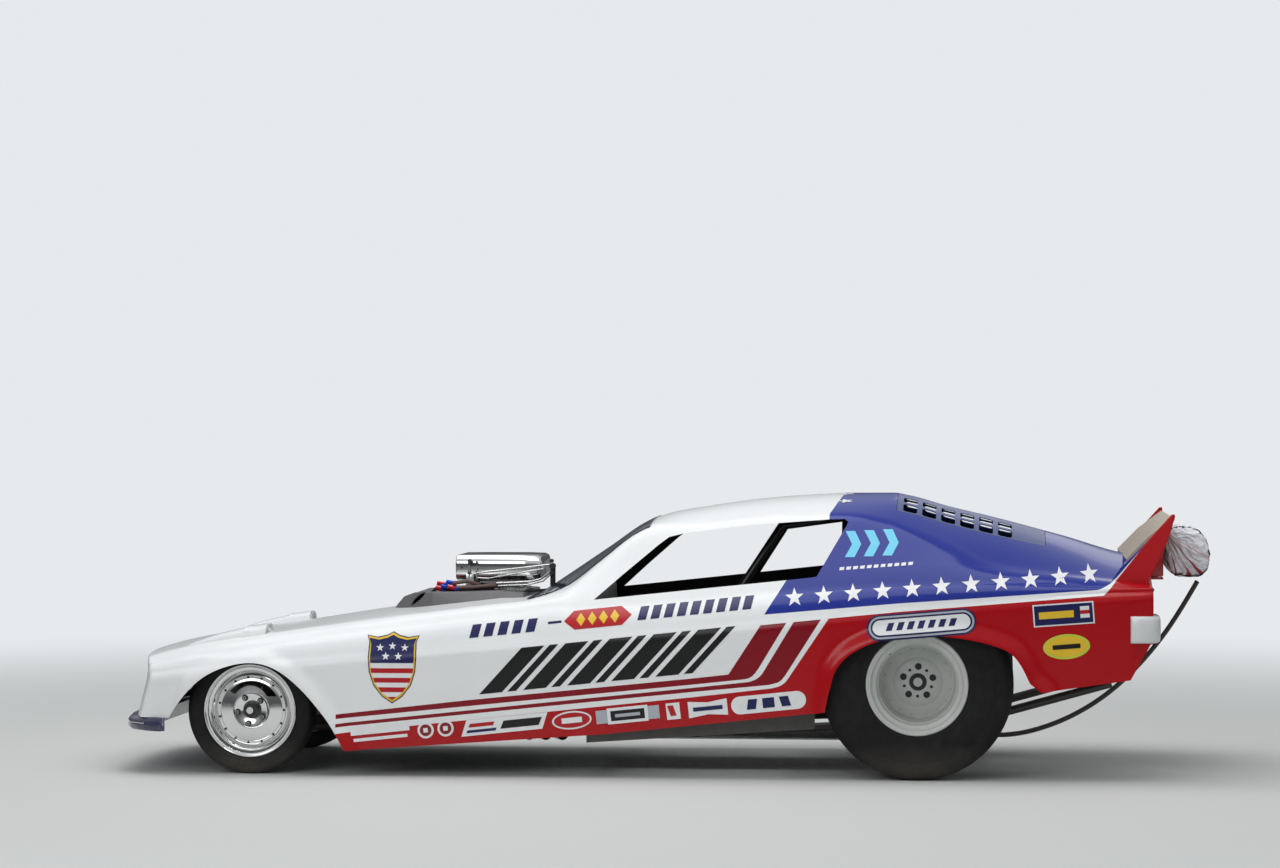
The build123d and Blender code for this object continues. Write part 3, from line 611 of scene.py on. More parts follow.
def prism(outline, axis, low, high):
    """A solid with an outline of (x, z) points along Y, or of (x, y) points along Z."""
    bm = bmesh.new()
    if axis == "Y":
        ring = [bm.verts.new((x, low, z)) for x, z in outline]
        push = (0, high - low, 0)
    else:
        ring = [bm.verts.new((x, y, low)) for x, y in outline]
        push = (0, 0, high - low)
    grown = bmesh.ops.extrude_face_region(bm, geom=[bm.faces.new(ring)])["geom"]
    bmesh.ops.translate(bm, verts=only(bmesh.types.BMVert, grown), vec=push)
    face_outward(bm)
    return to_mesh(bm, "cutter")


def round_cutter(y, z, radius, x_low, x_high):
    """A drum along X."""
    bm = bmesh.new()
    bmesh.ops.create_cone(bm, cap_ends=True, segments=64, radius1=radius, radius2=radius,
                          depth=x_high - x_low, matrix=Matrix.Translation(((x_low + x_high) / 2, y, z))
                          @ Matrix.Rotation(pi / 2, 4, "Y"))
    return to_mesh(bm, "drum")


def joined(meshes):
    return to_mesh(opened(*meshes), "joined")


def modified(mesh, kind, **settings):
    """The mesh as one modifier with these settings leaves it."""
    holder = linked("holder", mesh)
    step = holder.modifiers.new("step", kind)
    for key, value in settings.items():
        setattr(step, key, value)
    graph = bpy.context.evaluated_depsgraph_get()
    out = bpy.data.meshes.new_from_object(holder.evaluated_get(graph))
    bpy.data.objects.remove(holder)
    return out


def carved(mesh, cutter_mesh, operation="DIFFERENCE"):
    """The mesh after one exact cut, or after it is kept only inside the other mesh."""
    cutter = linked("cutter", cutter_mesh)
    out = modified(mesh, "BOOLEAN", operation=operation, solver="EXACT", object=cutter)
    bpy.data.objects.remove(cutter)
    return out


def walled(mesh, wall):
    """The sheet given a wall on its inner side; inner faces take the second material."""
    while len(mesh.materials) < 2:
        mesh.materials.append(None)
    return modified(mesh, "SOLIDIFY", thickness=wall, offset=-1, material_offset=1)


SIDE_WINDOW = [(1.421, 0.776), (1.3, 0.884), (1.15, 1.012), (1.103, 1.048), (1.03, 1.066),
               (0.744, 1.102), (0.391, 1.128), (0.325, 1.13), (0.309, 1.12), (0.313, 1.105),
               (0.44, 0.882), (0.462, 0.878)]
WINDSCREEN_PLAN = [(1.69, 0.525), (1.236, 0.408)]
BACKLIGHT_PLAN = [(0.1, 0.4), (-0.56, 0.4)]
COWL_OPENING = (1.79, 2.18, 0.235)
GRILLE_HALF, GRILLE_HEIGHTS = 0.33, (0.292, 0.418)
LAMP_Y, LAMP_Z, LAMP_RADIUS = 0.48, 0.362, 0.082


def both_ways(plan, inset=0.0):
    (x_low, y_low), (x_top, y_top) = plan
    sign = 1 if x_low > x_top else -1
    return [(x_low - inset * sign, y_low - inset), (x_top + inset * sign, y_top - inset),
            (x_top + inset * sign, inset - y_top), (x_low - inset * sign, inset - y_low)]


shell = walled(skin_mesh, BODY_WALL)
cuts = [
    prism([(p.x, p.y) for p in front_opening], "Y", -2, 2),
    prism([(p.x, p.y) for p in rear_opening], "Y", -2, 2),
    prism(SIDE_WINDOW, "Y", -2, 2),
    prism(both_ways(WINDSCREEN_PLAN), "Z", 0.7, 1.3),
    prism(both_ways(BACKLIGHT_PLAN), "Z", 0.92, 1.3),
    prism([(COWL_OPENING[0], COWL_OPENING[2]), (COWL_OPENING[1], COWL_OPENING[2]),
           (COWL_OPENING[1], -COWL_OPENING[2]), (COWL_OPENING[0], -COWL_OPENING[2])], "Z", 0.6, 0.9),
    prism([(3.4, -GRILLE_HALF), (3.6, -GRILLE_HALF), (3.6, GRILLE_HALF), (3.4, GRILLE_HALF)],
          "Z", *GRILLE_HEIGHTS),
    round_cutter(LAMP_Y, LAMP_Z, LAMP_RADIUS, 3.4, 3.6),
    round_cutter(-LAMP_Y, LAMP_Z, LAMP_RADIUS, 3.4, 3.6),
]
for cut in cuts:
    shell = carved(shell, cut)

# Paint: white from the nose to the doors, blue over the tail, red below, and two red bands
# that run along the sill and sweep up behind the doors, with white between them.
WHITE_PAINT = (0.83, 0.845, 0.85)
BLUE_PAINT = (0.01, 0.026, 0.27)
RED_PAINT = (0.42, 0.002, 0.006)
BAND_RED = (0.23, 0.004, 0.012)
# Heights of each border, as (x, z) points from the nose back
BORDERS = {
    "band_1_top": [(2.6, 0.266), (1.97, 0.338), (0.988, 0.44), (0.818, 0.46), (0.678, 0.675),
                   (0.64, 0.733)],
    "band_1_low": [(2.6, 0.247), (0.988, 0.413), (0.736, 0.441), (0.715, 0.452), (0.695, 0.473),
                   (0.564, 0.689), (0.53, 0.745)],
    "band_2_top": [(2.6, 0.225), (0.988, 0.399), (0.73, 0.428), (0.695, 0.44), (0.672, 0.462),
                   (0.532, 0.693), (0.5, 0.746)],
    "band_2_low": [(2.6, 0.21), (0.988, 0.381), (0.64, 0.416), (0.6, 0.427), (0.578, 0.445),
                   (0.413, 0.705), (0.385, 0.749)],
    "sill_top": [(2.6, 0.182), (0.988, 0.358), (0.63, 0.401), (0.59, 0.412), (0.567, 0.431),
                 (0.381, 0.707), (0.355, 0.746), (0.34, 1.24)],
    "red_top": [(2.6, 0.462), (0.678, 0.675), (0.38, 0.706), (0.074, 0.737), (-0.804, 0.81),
                (-0.86, 0.868), (-1.021, 1.072), (-1.13, 1.215)],
    "blue_low": [(2.6, 0.5), (0.661, 0.721), (0.074, 0.773), (-0.783, 0.834), (-0.83, 0.856),
                 (-0.86, 0.88), (-1.112, 1.17), (-1.14, 1.205)],
}
BORDER_SPAN = (2.6, -1.14)
BORDER_HEIGHT = 1.25


def border_curve(tree, across, points):
    """A shader node that gives the border's height from the place along the car."""
    node = wire(tree, "FloatCurve", Value=across)
    curve = node.mapping.curves[0]
    span = BORDER_SPAN[0] - BORDER_SPAN[1]
    spots = [((BORDER_SPAN[0] - x) / span, z / BORDER_HEIGHT) for x, z in points]
    if spots[-1][0] < 0.999:
        spots.append((1.0, spots[-1][1]))
    curve.points[0].location = spots[0]
    curve.points[1].location = spots[-1]
    for spot in spots[1:-1]:
        curve.points.new(*spot)
    for point in curve.points:
        point.handle_type = "VECTOR"
    node.mapping.update()
    return times(tree, node.outputs[0], BORDER_HEIGHT)


painted, tree, shader = new_material("body_paint")
place = object_place(tree)
axes = wire(tree, "SeparateXYZ", Vector=place)
x = maths(tree, "SUBTRACT", axes.outputs["X"], REAR_AXLE_X)
z = axes.outputs["Z"]
span = BORDER_SPAN[0] - BORDER_SPAN[1]
across = maths(tree, "DIVIDE", maths(tree, "SUBTRACT", BORDER_SPAN[0], x), span)
below = {name: maths(tree, "LESS_THAN", z, border_curve(tree, across, points))
         for name, points in BORDERS.items()}
bands = maths(tree, "ADD", maths(tree, "SUBTRACT", below["band_1_top"], below["band_1_low"]),
              maths(tree, "SUBTRACT", below["band_2_top"], below["band_2_low"]))
bands = times(tree, bands, below["red_top"])
red = times(tree, below["sill_top"], below["red_top"])
# the blue ends in front at a line that slopes down the side, and at 0.392 at most on the roof
sloped_edge = maths(tree, "ADD", 0.57, times(tree, maths(tree, "SUBTRACT", 0.869, z), 0.629))
roof_edge = maths(tree, "ADD", 0.392, maths(tree, "LESS_THAN", z, 1.0))
behind = maths(tree, "LESS_THAN", x, maths(tree, "MINIMUM", sloped_edge, roof_edge))
blue = times(tree, behind, maths(tree, "SUBTRACT", 1.0, below["blue_low"]))
trim = maths(tree, "SUBTRACT", 1.0, maths(tree, "GREATER_THAN", x, 2.55))
shade = mixed(tree, blue, colour(*WHITE_PAINT), colour(*BLUE_PAINT))
shade = mixed(tree, times(tree, red, trim), shade, colour(*RED_PAINT))
shade = mixed(tree, times(tree, bands, trim), shade, colour(*BAND_RED))
tone = ramp(tree, grain_on(tree, 3.0)["Mask"], 0, 1, 0.93, 1.04)
shade = wire(tree, "VectorMath", set_operation="SCALE", in_0=shade, Scale=tone)
dusty = dust_on(tree, 0.42, 0.12)
connect(shader, Base_Color=mixed(tree, dusty, shade.outputs[0], colour(0.22, 0.19, 0.15)),
        Roughness=maths(tree, "ADD", 0.2, times(tree, dusty, 0.9)),
        Normal=relief(tree, 0.03, 0.001, clouds(tree, place, 420.0)),
        Specular_IOR_Level=0.22, Coat_Weight=0.12, Coat_Roughness=0.05)
shell_inside = finish("shell_inside", (0.008, 0.008, 0.009), 0.85, grain=30, spread=0.3, bump=0.3)
shell_piece = put_in_place(shell, "painted_shell", "tilt_body",
                           [painted, shell_inside], sharp=32)
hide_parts("body_shell")

# The windscreen and the louvred rear panel are the same moulding's curve, cut out and let in:
# one tinted sheet of clear plastic, and one sheet painted silver blue with rows of holes.
SHEET_GAP = 0.002
LOUVRE_ROWS = (0.335, 0.208)
LOUVRE_FIRST_X = 0.04
LOUVRE_PITCH = 0.084
LOUVRE_COUNT = 6


def sheet_of(mesh, plan, wall, low, high, inset=SHEET_GAP):
    return carved(walled(mesh, wall), prism(both_ways(plan, inset), "Z", low, high), "INTERSECT")


def lifted(mesh, height):
    """The sheet moved out along its own normals."""
    bm = opened(mesh)
    bm.normal_update()
    for vertex in bm.verts:
        vertex.co += vertex.normal * height
    return to_mesh(bm, "lifted")


# The screen laps over the body round its opening, where a dark border is printed inside it
SCREEN_LAP = 0.042
tinted_plastic, tree, shader = new_material("tinted_plastic")
axes = wire(tree, "SeparateXYZ", Vector=object_place(tree))
(low_x, low_half), (top_x, top_half) = WINDSCREEN_PLAN
lean = (low_half - top_half) / (low_x - top_x)
from_top = maths(tree, "SUBTRACT", axes.outputs["X"], top_x + REAR_AXLE_X)
edge_y = maths(tree, "ADD", top_half - 0.012, times(tree, from_top, lean))
out_of_side = maths(tree, "GREATER_THAN", maths(tree, "ABSOLUTE", axes.outputs["Y"]), edge_y)
out_of_top = maths(tree, "LESS_THAN", from_top, 0.016)
out_of_foot = maths(tree, "GREATER_THAN", from_top, low_x - top_x - 0.02)
printed = maths(tree, "MAXIMUM", out_of_side, maths(tree, "MAXIMUM", out_of_top, out_of_foot))
connect(shader, Base_Color=mixed(tree, printed, colour(0.045, 0.065, 0.105), colour(0.01, 0.014, 0.03)),
        Transmission_Weight=times(tree, maths(tree, "SUBTRACT", 1.0, printed), 0.62),
        Roughness=ramp(tree, grain_on(tree, 14.0)["Mask"], 0, 1, 0.03, 0.12), IOR=1.45, Coat_Weight=0.1)
screen_mesh = sheet_of(lifted(skin_mesh, 0.0045), WINDSCREEN_PLAN, 0.003, 0.7, 1.3, -SCREEN_LAP)
windscreen = put_in_place(screen_mesh, "windscreen_sheet", "tilt_body",
                          [tinted_plastic, tinted_plastic])
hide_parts("windscreen")

silver_blue = finish("silver_blue", (0.06, 0.085, 0.24), 0.38, metallic=0.25, grain=22, spread=0.1,
                     bump=0.05, coat=0.1)
# One hole's outline about its middle, with its corners nipped off
LOUVRE_OUTLINE = [(-0.021, -0.05), (0.021, -0.05), (0.031, -0.04), (0.031, 0.04),
                  (0.021, 0.05), (-0.021, 0.05), (-0.031, 0.04), (-0.031, -0.04)]
louvre_cuts = []
for column in range(LOUVRE_COUNT):
    x = LOUVRE_FIRST_X - column * LOUVRE_PITCH
    for y in LOUVRE_ROWS:
        for middle in (y, -y):
            louvre_cuts.append(prism([(x + a, middle + b) for a, b in LOUVRE_OUTLINE], "Z", 0.92, 1.3))
panel = carved(sheet_of(skin_mesh, BACKLIGHT_PLAN, 0.004, 0.92, 1.3), joined(louvre_cuts))
rear_panel = put_in_place(panel, "louvred_panel", "tilt_body",
                          [silver_blue, shell_inside])
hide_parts("rear_window_panel")


def surface_at(x, y):
    """The height of the body's outer skin above a point of its plan."""
    hit = skin_tree.ray_cast(Vector((x, y, 2.0)), Vector((0, 0, -1)))
    return hit[0].z


def lofted(rings, cap=True):
    """A skin bridged from ring to ring of points, with its two ends closed."""
    bm = bmesh.new()
    loops = []
    for ring in rings:
        verts = [bm.verts.new(p) for p in ring]
        loops.append([bm.edges.new((verts[i - 1], verts[i])) for i in range(len(verts))])
    for a, b in zip(loops, loops[1:]):
        bmesh.ops.bridge_loops(bm, edges=a + b)
    if cap:
        for loop in (loops[0], loops[-1]):
            bmesh.ops.edgeloop_fill(bm, edges=loop)
    face_outward(bm)
    return bm


# Two low scoops are moulded into the hood over the wheels, each with a slot at its rear.
SCOOP_MIDDLE_Y = 0.545
SCOOP_SPINE = [(3.29, 0.03, 0.0), (3.22, 0.062, 0.014), (3.12, 0.08, 0.03),
               (3.0, 0.09, 0.04), (2.895, 0.094, 0.044)]
scoops = []
for sign in (1, -1):
    rings = []
    for x, half, rise in SCOOP_SPINE:
        ring = []
        for k in range(13):
            turn = pi * k / 12
            y = sign * SCOOP_MIDDLE_Y + half * cos(turn)
            lift = rise * sin(turn) ** 0.55 if k not in (0, 12) else 0.0
            ring.append((x, y, surface_at(x, y) - 0.004 + lift))
        for k in range(13):
            y = sign * SCOOP_MIDDLE_Y - half * cos(pi * k / 12)
            ring.append((x, y, surface_at(x, y) - 0.012))
        rings.append(ring)
    bm = lofted(rings)
    rear = max(bm.faces, key=lambda f: (-f.calc_center_median().x))
    bmesh.ops.inset_region(bm, faces=[rear], thickness=0.007)
    pocket = bmesh.ops.extrude_face_region(bm, geom=[rear])["geom"]
    bmesh.ops.translate(bm, verts=only(bmesh.types.BMVert, pocket), vec=(0.1, 0, -0.006))
    for face in only(bmesh.types.BMFace, pocket):
        face.material_index = 1
    scoops.append(to_mesh(bm, "scoop"))
put_in_place(joined(scoops), "hood_scoops", "tilt_body", [painted, shell_inside], sharp=50)

# Round the hole that the injector stands in is a raised dark collar, with a slot each side.
COLLAR = [
    # x, half width at the hood, half width at the rim, height of the rim over the hood
    (1.776, 0.330, 0.300, 0.020), (1.900, 0.338, 0.300, 0.034), (2.060, 0.338, 0.298, 0.046),
    (2.196, 0.330, 0.286, 0.060), (2.290, 0.285, 0.225, 0.066), (2.352, 0.205, 0.120, 0.050),
    (2.400, 0.110, 0.040, 0.008),
]
outer_ring, top_ring, hole_ring, drop_ring = [], [], [], []
rear_x, front_x, hole_half = COWL_OPENING
for sign, rows in ((1, COLLAR), (-1, COLLAR[::-1])):
    for x, foot, rim, rise in rows:
        rim_z = surface_at(x, sign * rim) + rise
        outer_ring.append((x, sign * foot, surface_at(x, sign * foot) - 0.003))
        top_ring.append((x, sign * rim, rim_z))
        hole_x = min(max(x, rear_x), front_x)
        hole_y = min(hole_half, rim - 0.02) if x < front_x + 0.01 else hole_half * rim / 0.286
        hole_ring.append((hole_x, sign * hole_y, rim_z))
        drop_ring.append((hole_x, sign * hole_y, rim_z - 0.03))
bm = lofted([outer_ring, top_ring, hole_ring, drop_ring], cap=False)
soft = [e for e in bm.edges if len(e.link_faces) == 2 and e.calc_face_angle(0) > radians(18)]
bmesh.ops.bevel(bm, geom=soft, offset=0.008, segments=3, affect="EDGES", profile=0.5, material=-1)
collar_mesh = walled(to_mesh(bm, "collar"), 0.004)
slots = [prism([(2.265 + 0.034 * cos(pi * k / 8), sign * 0.262 + 0.013 * sin(pi * k / 8))
                for k in range(16)], "Z", 0.6, 0.9) for sign in (1, -1)]
collar_mesh = carved(collar_mesh, joined(slots))
primer_grey = finish("primer_grey", (0.07, 0.07, 0.078), 0.48, grain=60, spread=0.22, bump=0.08,
                     coat=0.15, dust=0.25, dust_height=1.4)
collar = put_in_place(collar_mesh, "engine_collar", "tilt_body",
                      [primer_grey, shell_inside], sharp=40)
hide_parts("engine_cowl")

# Graphics are cut sheets laid on the paint of both sides: stars, slanted bars, a plain
# shield, and blank stickers in several shapes. None of them says anything.
STICKER_LIFT, STICKER_CELL = 0.0011, 0.012
VINYL_TONES = {
    "white": (0.8, 0.81, 0.82), "black": (0.006, 0.006, 0.007), "navy": (0.008, 0.011, 0.085),
    "red": (0.45, 0.006, 0.012), "gold": (0.8, 0.52, 0.03), "sky": (0.15, 0.62, 0.86),
    "green": (0.56, 0.64, 0.06), "maroon": (0.23, 0.008, 0.014), "silver": (0.42, 0.45, 0.5),
}
vinyl = {name: finish(name + "_vinyl", tone, 0.34, grain=18, spread=0.05, bump=0.01, coat=0.12,
                      dust=0.06, dust_height=0.4) for name, tone in VINYL_TONES.items()}
for sheet in vinyl.values():
    connect(sheet.node_tree.nodes["Principled BSDF"], Specular_IOR_Level=0.3)


def on_side(x, z):
    """The point of the left side's skin at x and z, and its outward direction."""
    spot, normal, _, _ = skin_tree.ray_cast(Vector((x, 2.0, z)), Vector((0, -1, 0)))
    return spot, normal if normal.y > 0 else -normal


def on_roof(x, y):
    spot, normal, _, _ = skin_tree.ray_cast(Vector((x, y, 2.0)), Vector((0, 0, -1)))
    return spot, normal if normal.z > 0 else -normal


def graphics(name, layers, laid=on_side):
    """Flat outlines of (x, z) laid on the body: each layer is (outline, vinyl, level)."""
    used = list(dict.fromkeys(tone for outline, tone, level in layers))
    whole = bmesh.new()
    for outline, tone, level in layers:
        bm = bmesh.new()
        bm.faces.new([bm.verts.new((a, b, 0)) for a, b in outline])
        for axis in (0, 1):
            high = max(p[axis] for p in outline)
            at = (min(p[axis] for p in outline) // STICKER_CELL + 1) * STICKER_CELL
            while at < high - 0.0005:
                spot, normal = [0, 0, 0], [0, 0, 0]
                spot[axis], normal[axis] = at, 1
                bmesh.ops.bisect_plane(bm, geom=bm.verts[:] + bm.edges[:] + bm.faces[:], dist=1e-6,
                                       plane_co=spot, plane_no=normal)
                at += STICKER_CELL
        for vertex in bm.verts:
            spot, normal = laid(vertex.co.x, vertex.co.y)
            vertex.co = spot + normal * (STICKER_LIFT * (1 + 0.8 * level))
        for face in bm.faces:
            face.material_index = used.index(tone)
            face.normal_update()
        whole.from_mesh(to_mesh(bm, "layer"))
    outward = 1 if laid is on_side else 2
    inward = [f for f in whole.faces if f.normal[outward] < 0]
    if inward:
        bmesh.ops.reverse_faces(whole, faces=inward)
    if laid is on_side:
        other = bmesh.ops.duplicate(whole, geom=whole.verts[:] + whole.edges[:] + whole.faces[:])["geom"]
        bmesh.ops.scale(whole, vec=(1, -1, 1), verts=only(bmesh.types.BMVert, other))
        bmesh.ops.reverse_faces(whole, faces=only(bmesh.types.BMFace, other))
    put_in_place(whole, name, "tilt_body", [vinyl[tone] for tone in used])


def star(x, z, radius, tilt=0.0):
    return [(x + r * sin(a + tilt), z + r * cos(a + tilt)) for a, r in
            ((pi * k / 5, radius if k % 2 == 0 else radius * 0.4) for k in range(10))]


def ellipse(x, z, half_x, half_z, tilt=0.0):
    return [slanted(x, z, half_x * cos(2 * pi * k / 32), half_z * sin(2 * pi * k / 32), tilt)
            for k in range(32)]


def slanted(x, z, forward, up, tilt):
    """A point given along and across a line that falls towards the nose by the tilt."""
    return (x + forward * cos(tilt) + up * sin(tilt), z - forward * sin(tilt) + up * cos(tilt))


def bar(x, z, length, height, tilt=0.0, lean=0.0):
    """A straight bar about (x, z); lean slides its top edge rearward."""
    return [slanted(x, z, a * length / 2 - b * lean / 2, b * height / 2, tilt)
            for a, b in ((-1, -1), (1, -1), (1, 1), (-1, 1))]


def round_cornered(half_a, half_b, radius):
    """Points about a rectangle with rounded corners."""
    points = []
    for side_a, side_b, start in ((1, 1, 0), (-1, 1, 90), (-1, -1, 180), (1, -1, 270)):
        for k in range(7):
            turn = radians(start + 15 * k)
            points.append((side_a * (half_a - radius) + radius * cos(turn),
                           side_b * (half_b - radius) + radius * sin(turn)))
    return points


def pill(x, z, length, height, tilt=0.0):
    return [slanted(x, z, a, b, tilt) for a, b in round_cornered(length / 2, height / 2, height / 2)]


# Eleven white stars on the blue over each rear wheel
BELT_TILT = 0.0795
STAR_FIRST, STAR_LAST, STAR_COUNT = (0.533, 0.794), (-0.745, 0.896), 11
stars = []
for k in range(STAR_COUNT):
    t = k / (STAR_COUNT - 1)
    x = STAR_FIRST[0] + (STAR_LAST[0] - STAR_FIRST[0]) * t
    z = STAR_FIRST[1] + (STAR_LAST[1] - STAR_FIRST[1]) * t
    stars.append((star(x, z, 0.042, BELT_TILT), "white", 0))
graphics("side_stars", stars)
graphics("roof_stars", [(star(0.329, y, 0.04, pi / 2), "white", 0)
                        for y in (-0.3, -0.1, 0.1, 0.3)], laid=on_roof)

# A row of slanted dark bars, broad and narrow by turns, where the door is plain white
BAR_FOOT, BAR_HEAD = ((1.915, 0.364), (0.944, 0.468)), ((1.727, 0.57), (0.756, 0.674))
BAR_PITCH, BROAD_SHARE, NARROW_SHARE, BAR_GAP = 0.2, 0.52, 0.2, 0.12
bars = []
for k in range(5):
    for start, share in ((0.0, BROAD_SHARE), (BROAD_SHARE + BAR_GAP, NARROW_SHARE)):
        t0, t1 = (k + start) * BAR_PITCH, (k + start + share) * BAR_PITCH
        foot = [tuple(a + (b - a) * t for a, b in zip(*BAR_FOOT)) for t in (t0, t1)]
        head = [tuple(a + (b - a) * t for a, b in zip(*BAR_HEAD)) for t in (t1, t0)]
        bars.append((foot + head, "black", 0))
graphics("door_bars", bars)

# A strip of small dark dashes above them, with a gold and red lozenge in its gap
dashes = []
STRIP_TILT = 0.107
for x, z in [(1.935 - 0.062 * k, 0.64 + 0.0066 * k) for k in range(5)]:
    dashes.append((bar(x, z, 0.04, 0.056, STRIP_TILT, 0.018), "navy", 0))
for x, z in [(1.195 - 0.0575 * k, 0.722 + 0.0061 * k) for k in range(9)]:
    dashes.append((bar(x, z, 0.038, 0.056, STRIP_TILT, 0.018), "navy", 0))
dashes.append((bar(1.585, 0.68, 0.06, 0.01, STRIP_TILT), "navy", 0))
dashes.append(([slanted(1.395, 0.7, a, b, STRIP_TILT) for a, b in
                ((0.15, 0.0), (0.105, 0.04), (-0.105, 0.04), (-0.15, 0.0), (-0.105, -0.04),
                 (0.105, -0.04))], "red", 0))
for offset in (-0.075, -0.025, 0.025, 0.075):
    dashes.append(([slanted(1.395 + offset * cos(STRIP_TILT), 0.7 - offset * sin(STRIP_TILT), a, b,
                            STRIP_TILT) for a, b in ((0.02, 0), (0, 0.028), (-0.02, 0), (0, -0.028))],
                   "gold", 1))
graphics("belt_dashes", dashes)

# A shield on the front wing: stars on blue over red and white bars, edged in gold
SHIELD_X, SHIELD_Z = 2.3, 0.48


def shield(scale_x, scale_z):
    half = [(0.0, -0.158), (0.045, -0.128), (0.083, -0.08), (0.103, -0.02), (0.108, 0.045),
            (0.106, 0.11), (0.118, 0.14), (0.07, 0.132), (0.03, 0.14), (0.0, 0.155)]
    both = half + [(-a, b) for a, b in half[-2:0:-1]]
    return [(SHIELD_X + a * scale_x, SHIELD_Z + b * scale_z) for a, b in both]


def within_shield(low, high):
    """The part of the shield's inner outline between two heights."""
    bm = bmesh.new()
    bm.faces.new([bm.verts.new((a, b, 0)) for a, b in shield(0.9, 0.9)])
    for height, keep_up in ((low, True), (high, False)):
        bmesh.ops.bisect_plane(bm, geom=bm.verts[:] + bm.edges[:] + bm.faces[:], dist=1e-6,
                               plane_co=(0, SHIELD_Z + height, 0), plane_no=(0, 1, 0),
                               clear_inner=keep_up, clear_outer=not keep_up)
    outline = [(v.co.x, v.co.y) for v in bm.faces[:][0].verts]
    bm.free()
    return outline


crest = [(shield(1.0, 1.0), "navy", 0), (shield(0.955, 0.965), "gold", 1),
         (shield(0.9, 0.9), "white", 2), (within_shield(0.02, 0.2), "navy", 3)]
for k in range(4):
    crest.append((within_shield(-0.15 + k * 0.042, -0.129 + k * 0.042), "red", 3))
for k, (a, b) in enumerate([(-0.055, 0.085), (0.0, 0.092), (0.055, 0.085), (-0.028, 0.048),
                            (0.028, 0.048)]):
    crest.append((star(SHIELD_X + a, SHIELD_Z + b, 0.018), "white", 4))
graphics("wing_shield", crest)

# Sky blue chevrons on the rear quarter, and a broken white line below them
chevrons = []
for k in range(3):
    x = 0.318 - 0.082 * k
    z = 1.022 + 0.004 * k
    chevrons.append(([(x, z - 0.056), (x - 0.042, z - 0.056), (x - 0.07, z), (x - 0.042, z + 0.056),
                      (x, z + 0.056), (x - 0.03, z)][::-1], "sky", 0))
for k in range(11):
    chevrons.append((bar(0.33 - 0.03 * k, 0.917 + 0.0024 * k, 0.02, 0.013, BELT_TILT, 0.004),
                     "white", 0))
graphics("quarter_chevrons", chevrons)

# Blank stickers behind the doors and along the sill
SILL_TILT = 0.107
badges = [(pill(-0.02, 0.682, length, height, 0.085), tone, level)
          for level, (tone, length, height) in enumerate((("navy", 0.476, 0.112), ("silver", 0.458, 0.096),
                                                          ("navy", 0.44, 0.08), ("white", 0.424, 0.066)))]
for k in range(7):
    badges.append((bar(0.115 - 0.045 * k, 0.671 + 0.0038 * k, 0.026, 0.034, 0.085, 0.014),
                   "navy", 4))
badges += [
    (bar(-0.631, 0.73, 0.262, 0.096, 0.075), "white", 0),
    (bar(-0.631, 0.73, 0.25, 0.084, 0.075), "navy", 1),
    (bar(-0.6, 0.7275, 0.15, 0.03, 0.075), "gold", 2),
    (bar(-0.722, 0.741, 0.04, 0.05, 0.075), "white", 2),
    (bar(-0.722, 0.741, 0.04, 0.016, 0.075), "red", 3),
    (ellipse(-0.644, 0.59, 0.101, 0.054, 0.08), "green", 0),
    (ellipse(-0.644, 0.59, 0.09, 0.044, 0.08), "gold", 1),
    (bar(-0.644, 0.59, 0.12, 0.02, 0.08), "black", 2),
]
graphics("quarter_badges", badges)

sill_marks = []
for x, z in ((2.152, 0.205), (2.064, 0.214)):
    sill_marks += [(ellipse(x, z, 0.036, 0.036), "white", 0), (ellipse(x, z, 0.026, 0.026), "maroon", 1),
                   (bar(x, z, 0.02, 0.02, SILL_TILT), "white", 2)]
sill_marks += [(shape(x, z, length, height, SILL_TILT, *lean), tone, level)
              for shape, x, z, length, height, tone, level, *lean in [
    (bar, 2.355, 0.206, 0.262, 0.03, "white", 0),
    (bar, 2.352, 0.17, 0.24, 0.014, "white", 0),
    (bar, 1.804, 0.233, 0.36, 0.07, "white", 0, 0.03),
    (bar, 1.905, 0.232, 0.11, 0.016, "red", 1, 0.008),
    (bar, 1.905, 0.206, 0.13, 0.012, "navy", 1, 0.006),
    (bar, 1.73, 0.241, 0.17, 0.034, "black", 1, 0.018),
    (ellipse, 1.506, 0.254, 0.088, 0.04, "white", 0),
    (ellipse, 1.506, 0.254, 0.08, 0.033, "red", 1),
    (bar, 1.506, 0.254, 0.09, 0.024, "white", 2),
    (bar, 1.26, 0.281, 0.28, 0.058, "silver", 0),
    (bar, 1.26, 0.281, 0.18, 0.07, "white", 1),
    (bar, 1.26, 0.281, 0.15, 0.044, "black", 2),
    (bar, 1.26, 0.281, 0.11, 0.014, "silver", 3),
    (bar, 1.06, 0.298, 0.06, 0.072, "white", 0),
    (bar, 1.066, 0.3, 0.026, 0.046, "red", 1, -0.012),
    (bar, 0.908, 0.312, 0.13, 0.018, "navy", 1),
    (pill, 0.643, 0.339, 0.328, 0.078, "white", 0)]]
sill_marks.append(([slanted(0.908, 0.312, a, b, SILL_TILT) for a, b in
                    ((0.086, 0.036), (0.0, 0.026), (-0.086, 0.036), (-0.086, -0.036), (0.0, -0.026),
                     (0.086, -0.036))], "white", 0))
for k, width in enumerate((0.04, 0.052, 0.04)):
    sill_marks.append((bar(0.643 + 0.072 - 0.072 * k, 0.3315 + 0.0077 * k, width, 0.044, SILL_TILT,
                           0.01 - 0.01 * k), "navy", 1))
graphics("sill_stickers", sill_marks)

# Wheels. The front pair are narrow polished spun rims with a bright disc, a ring of small
# dark bolts, five nuts, a dark cap and one crescent window. Tyres are plain black rubber.
FRONT_WHEEL_Y, FRONT_AXLE_Z = 0.65, 0.28
REAR_WHEEL_Y, REAR_AXLE_Z = 0.596, 0.418


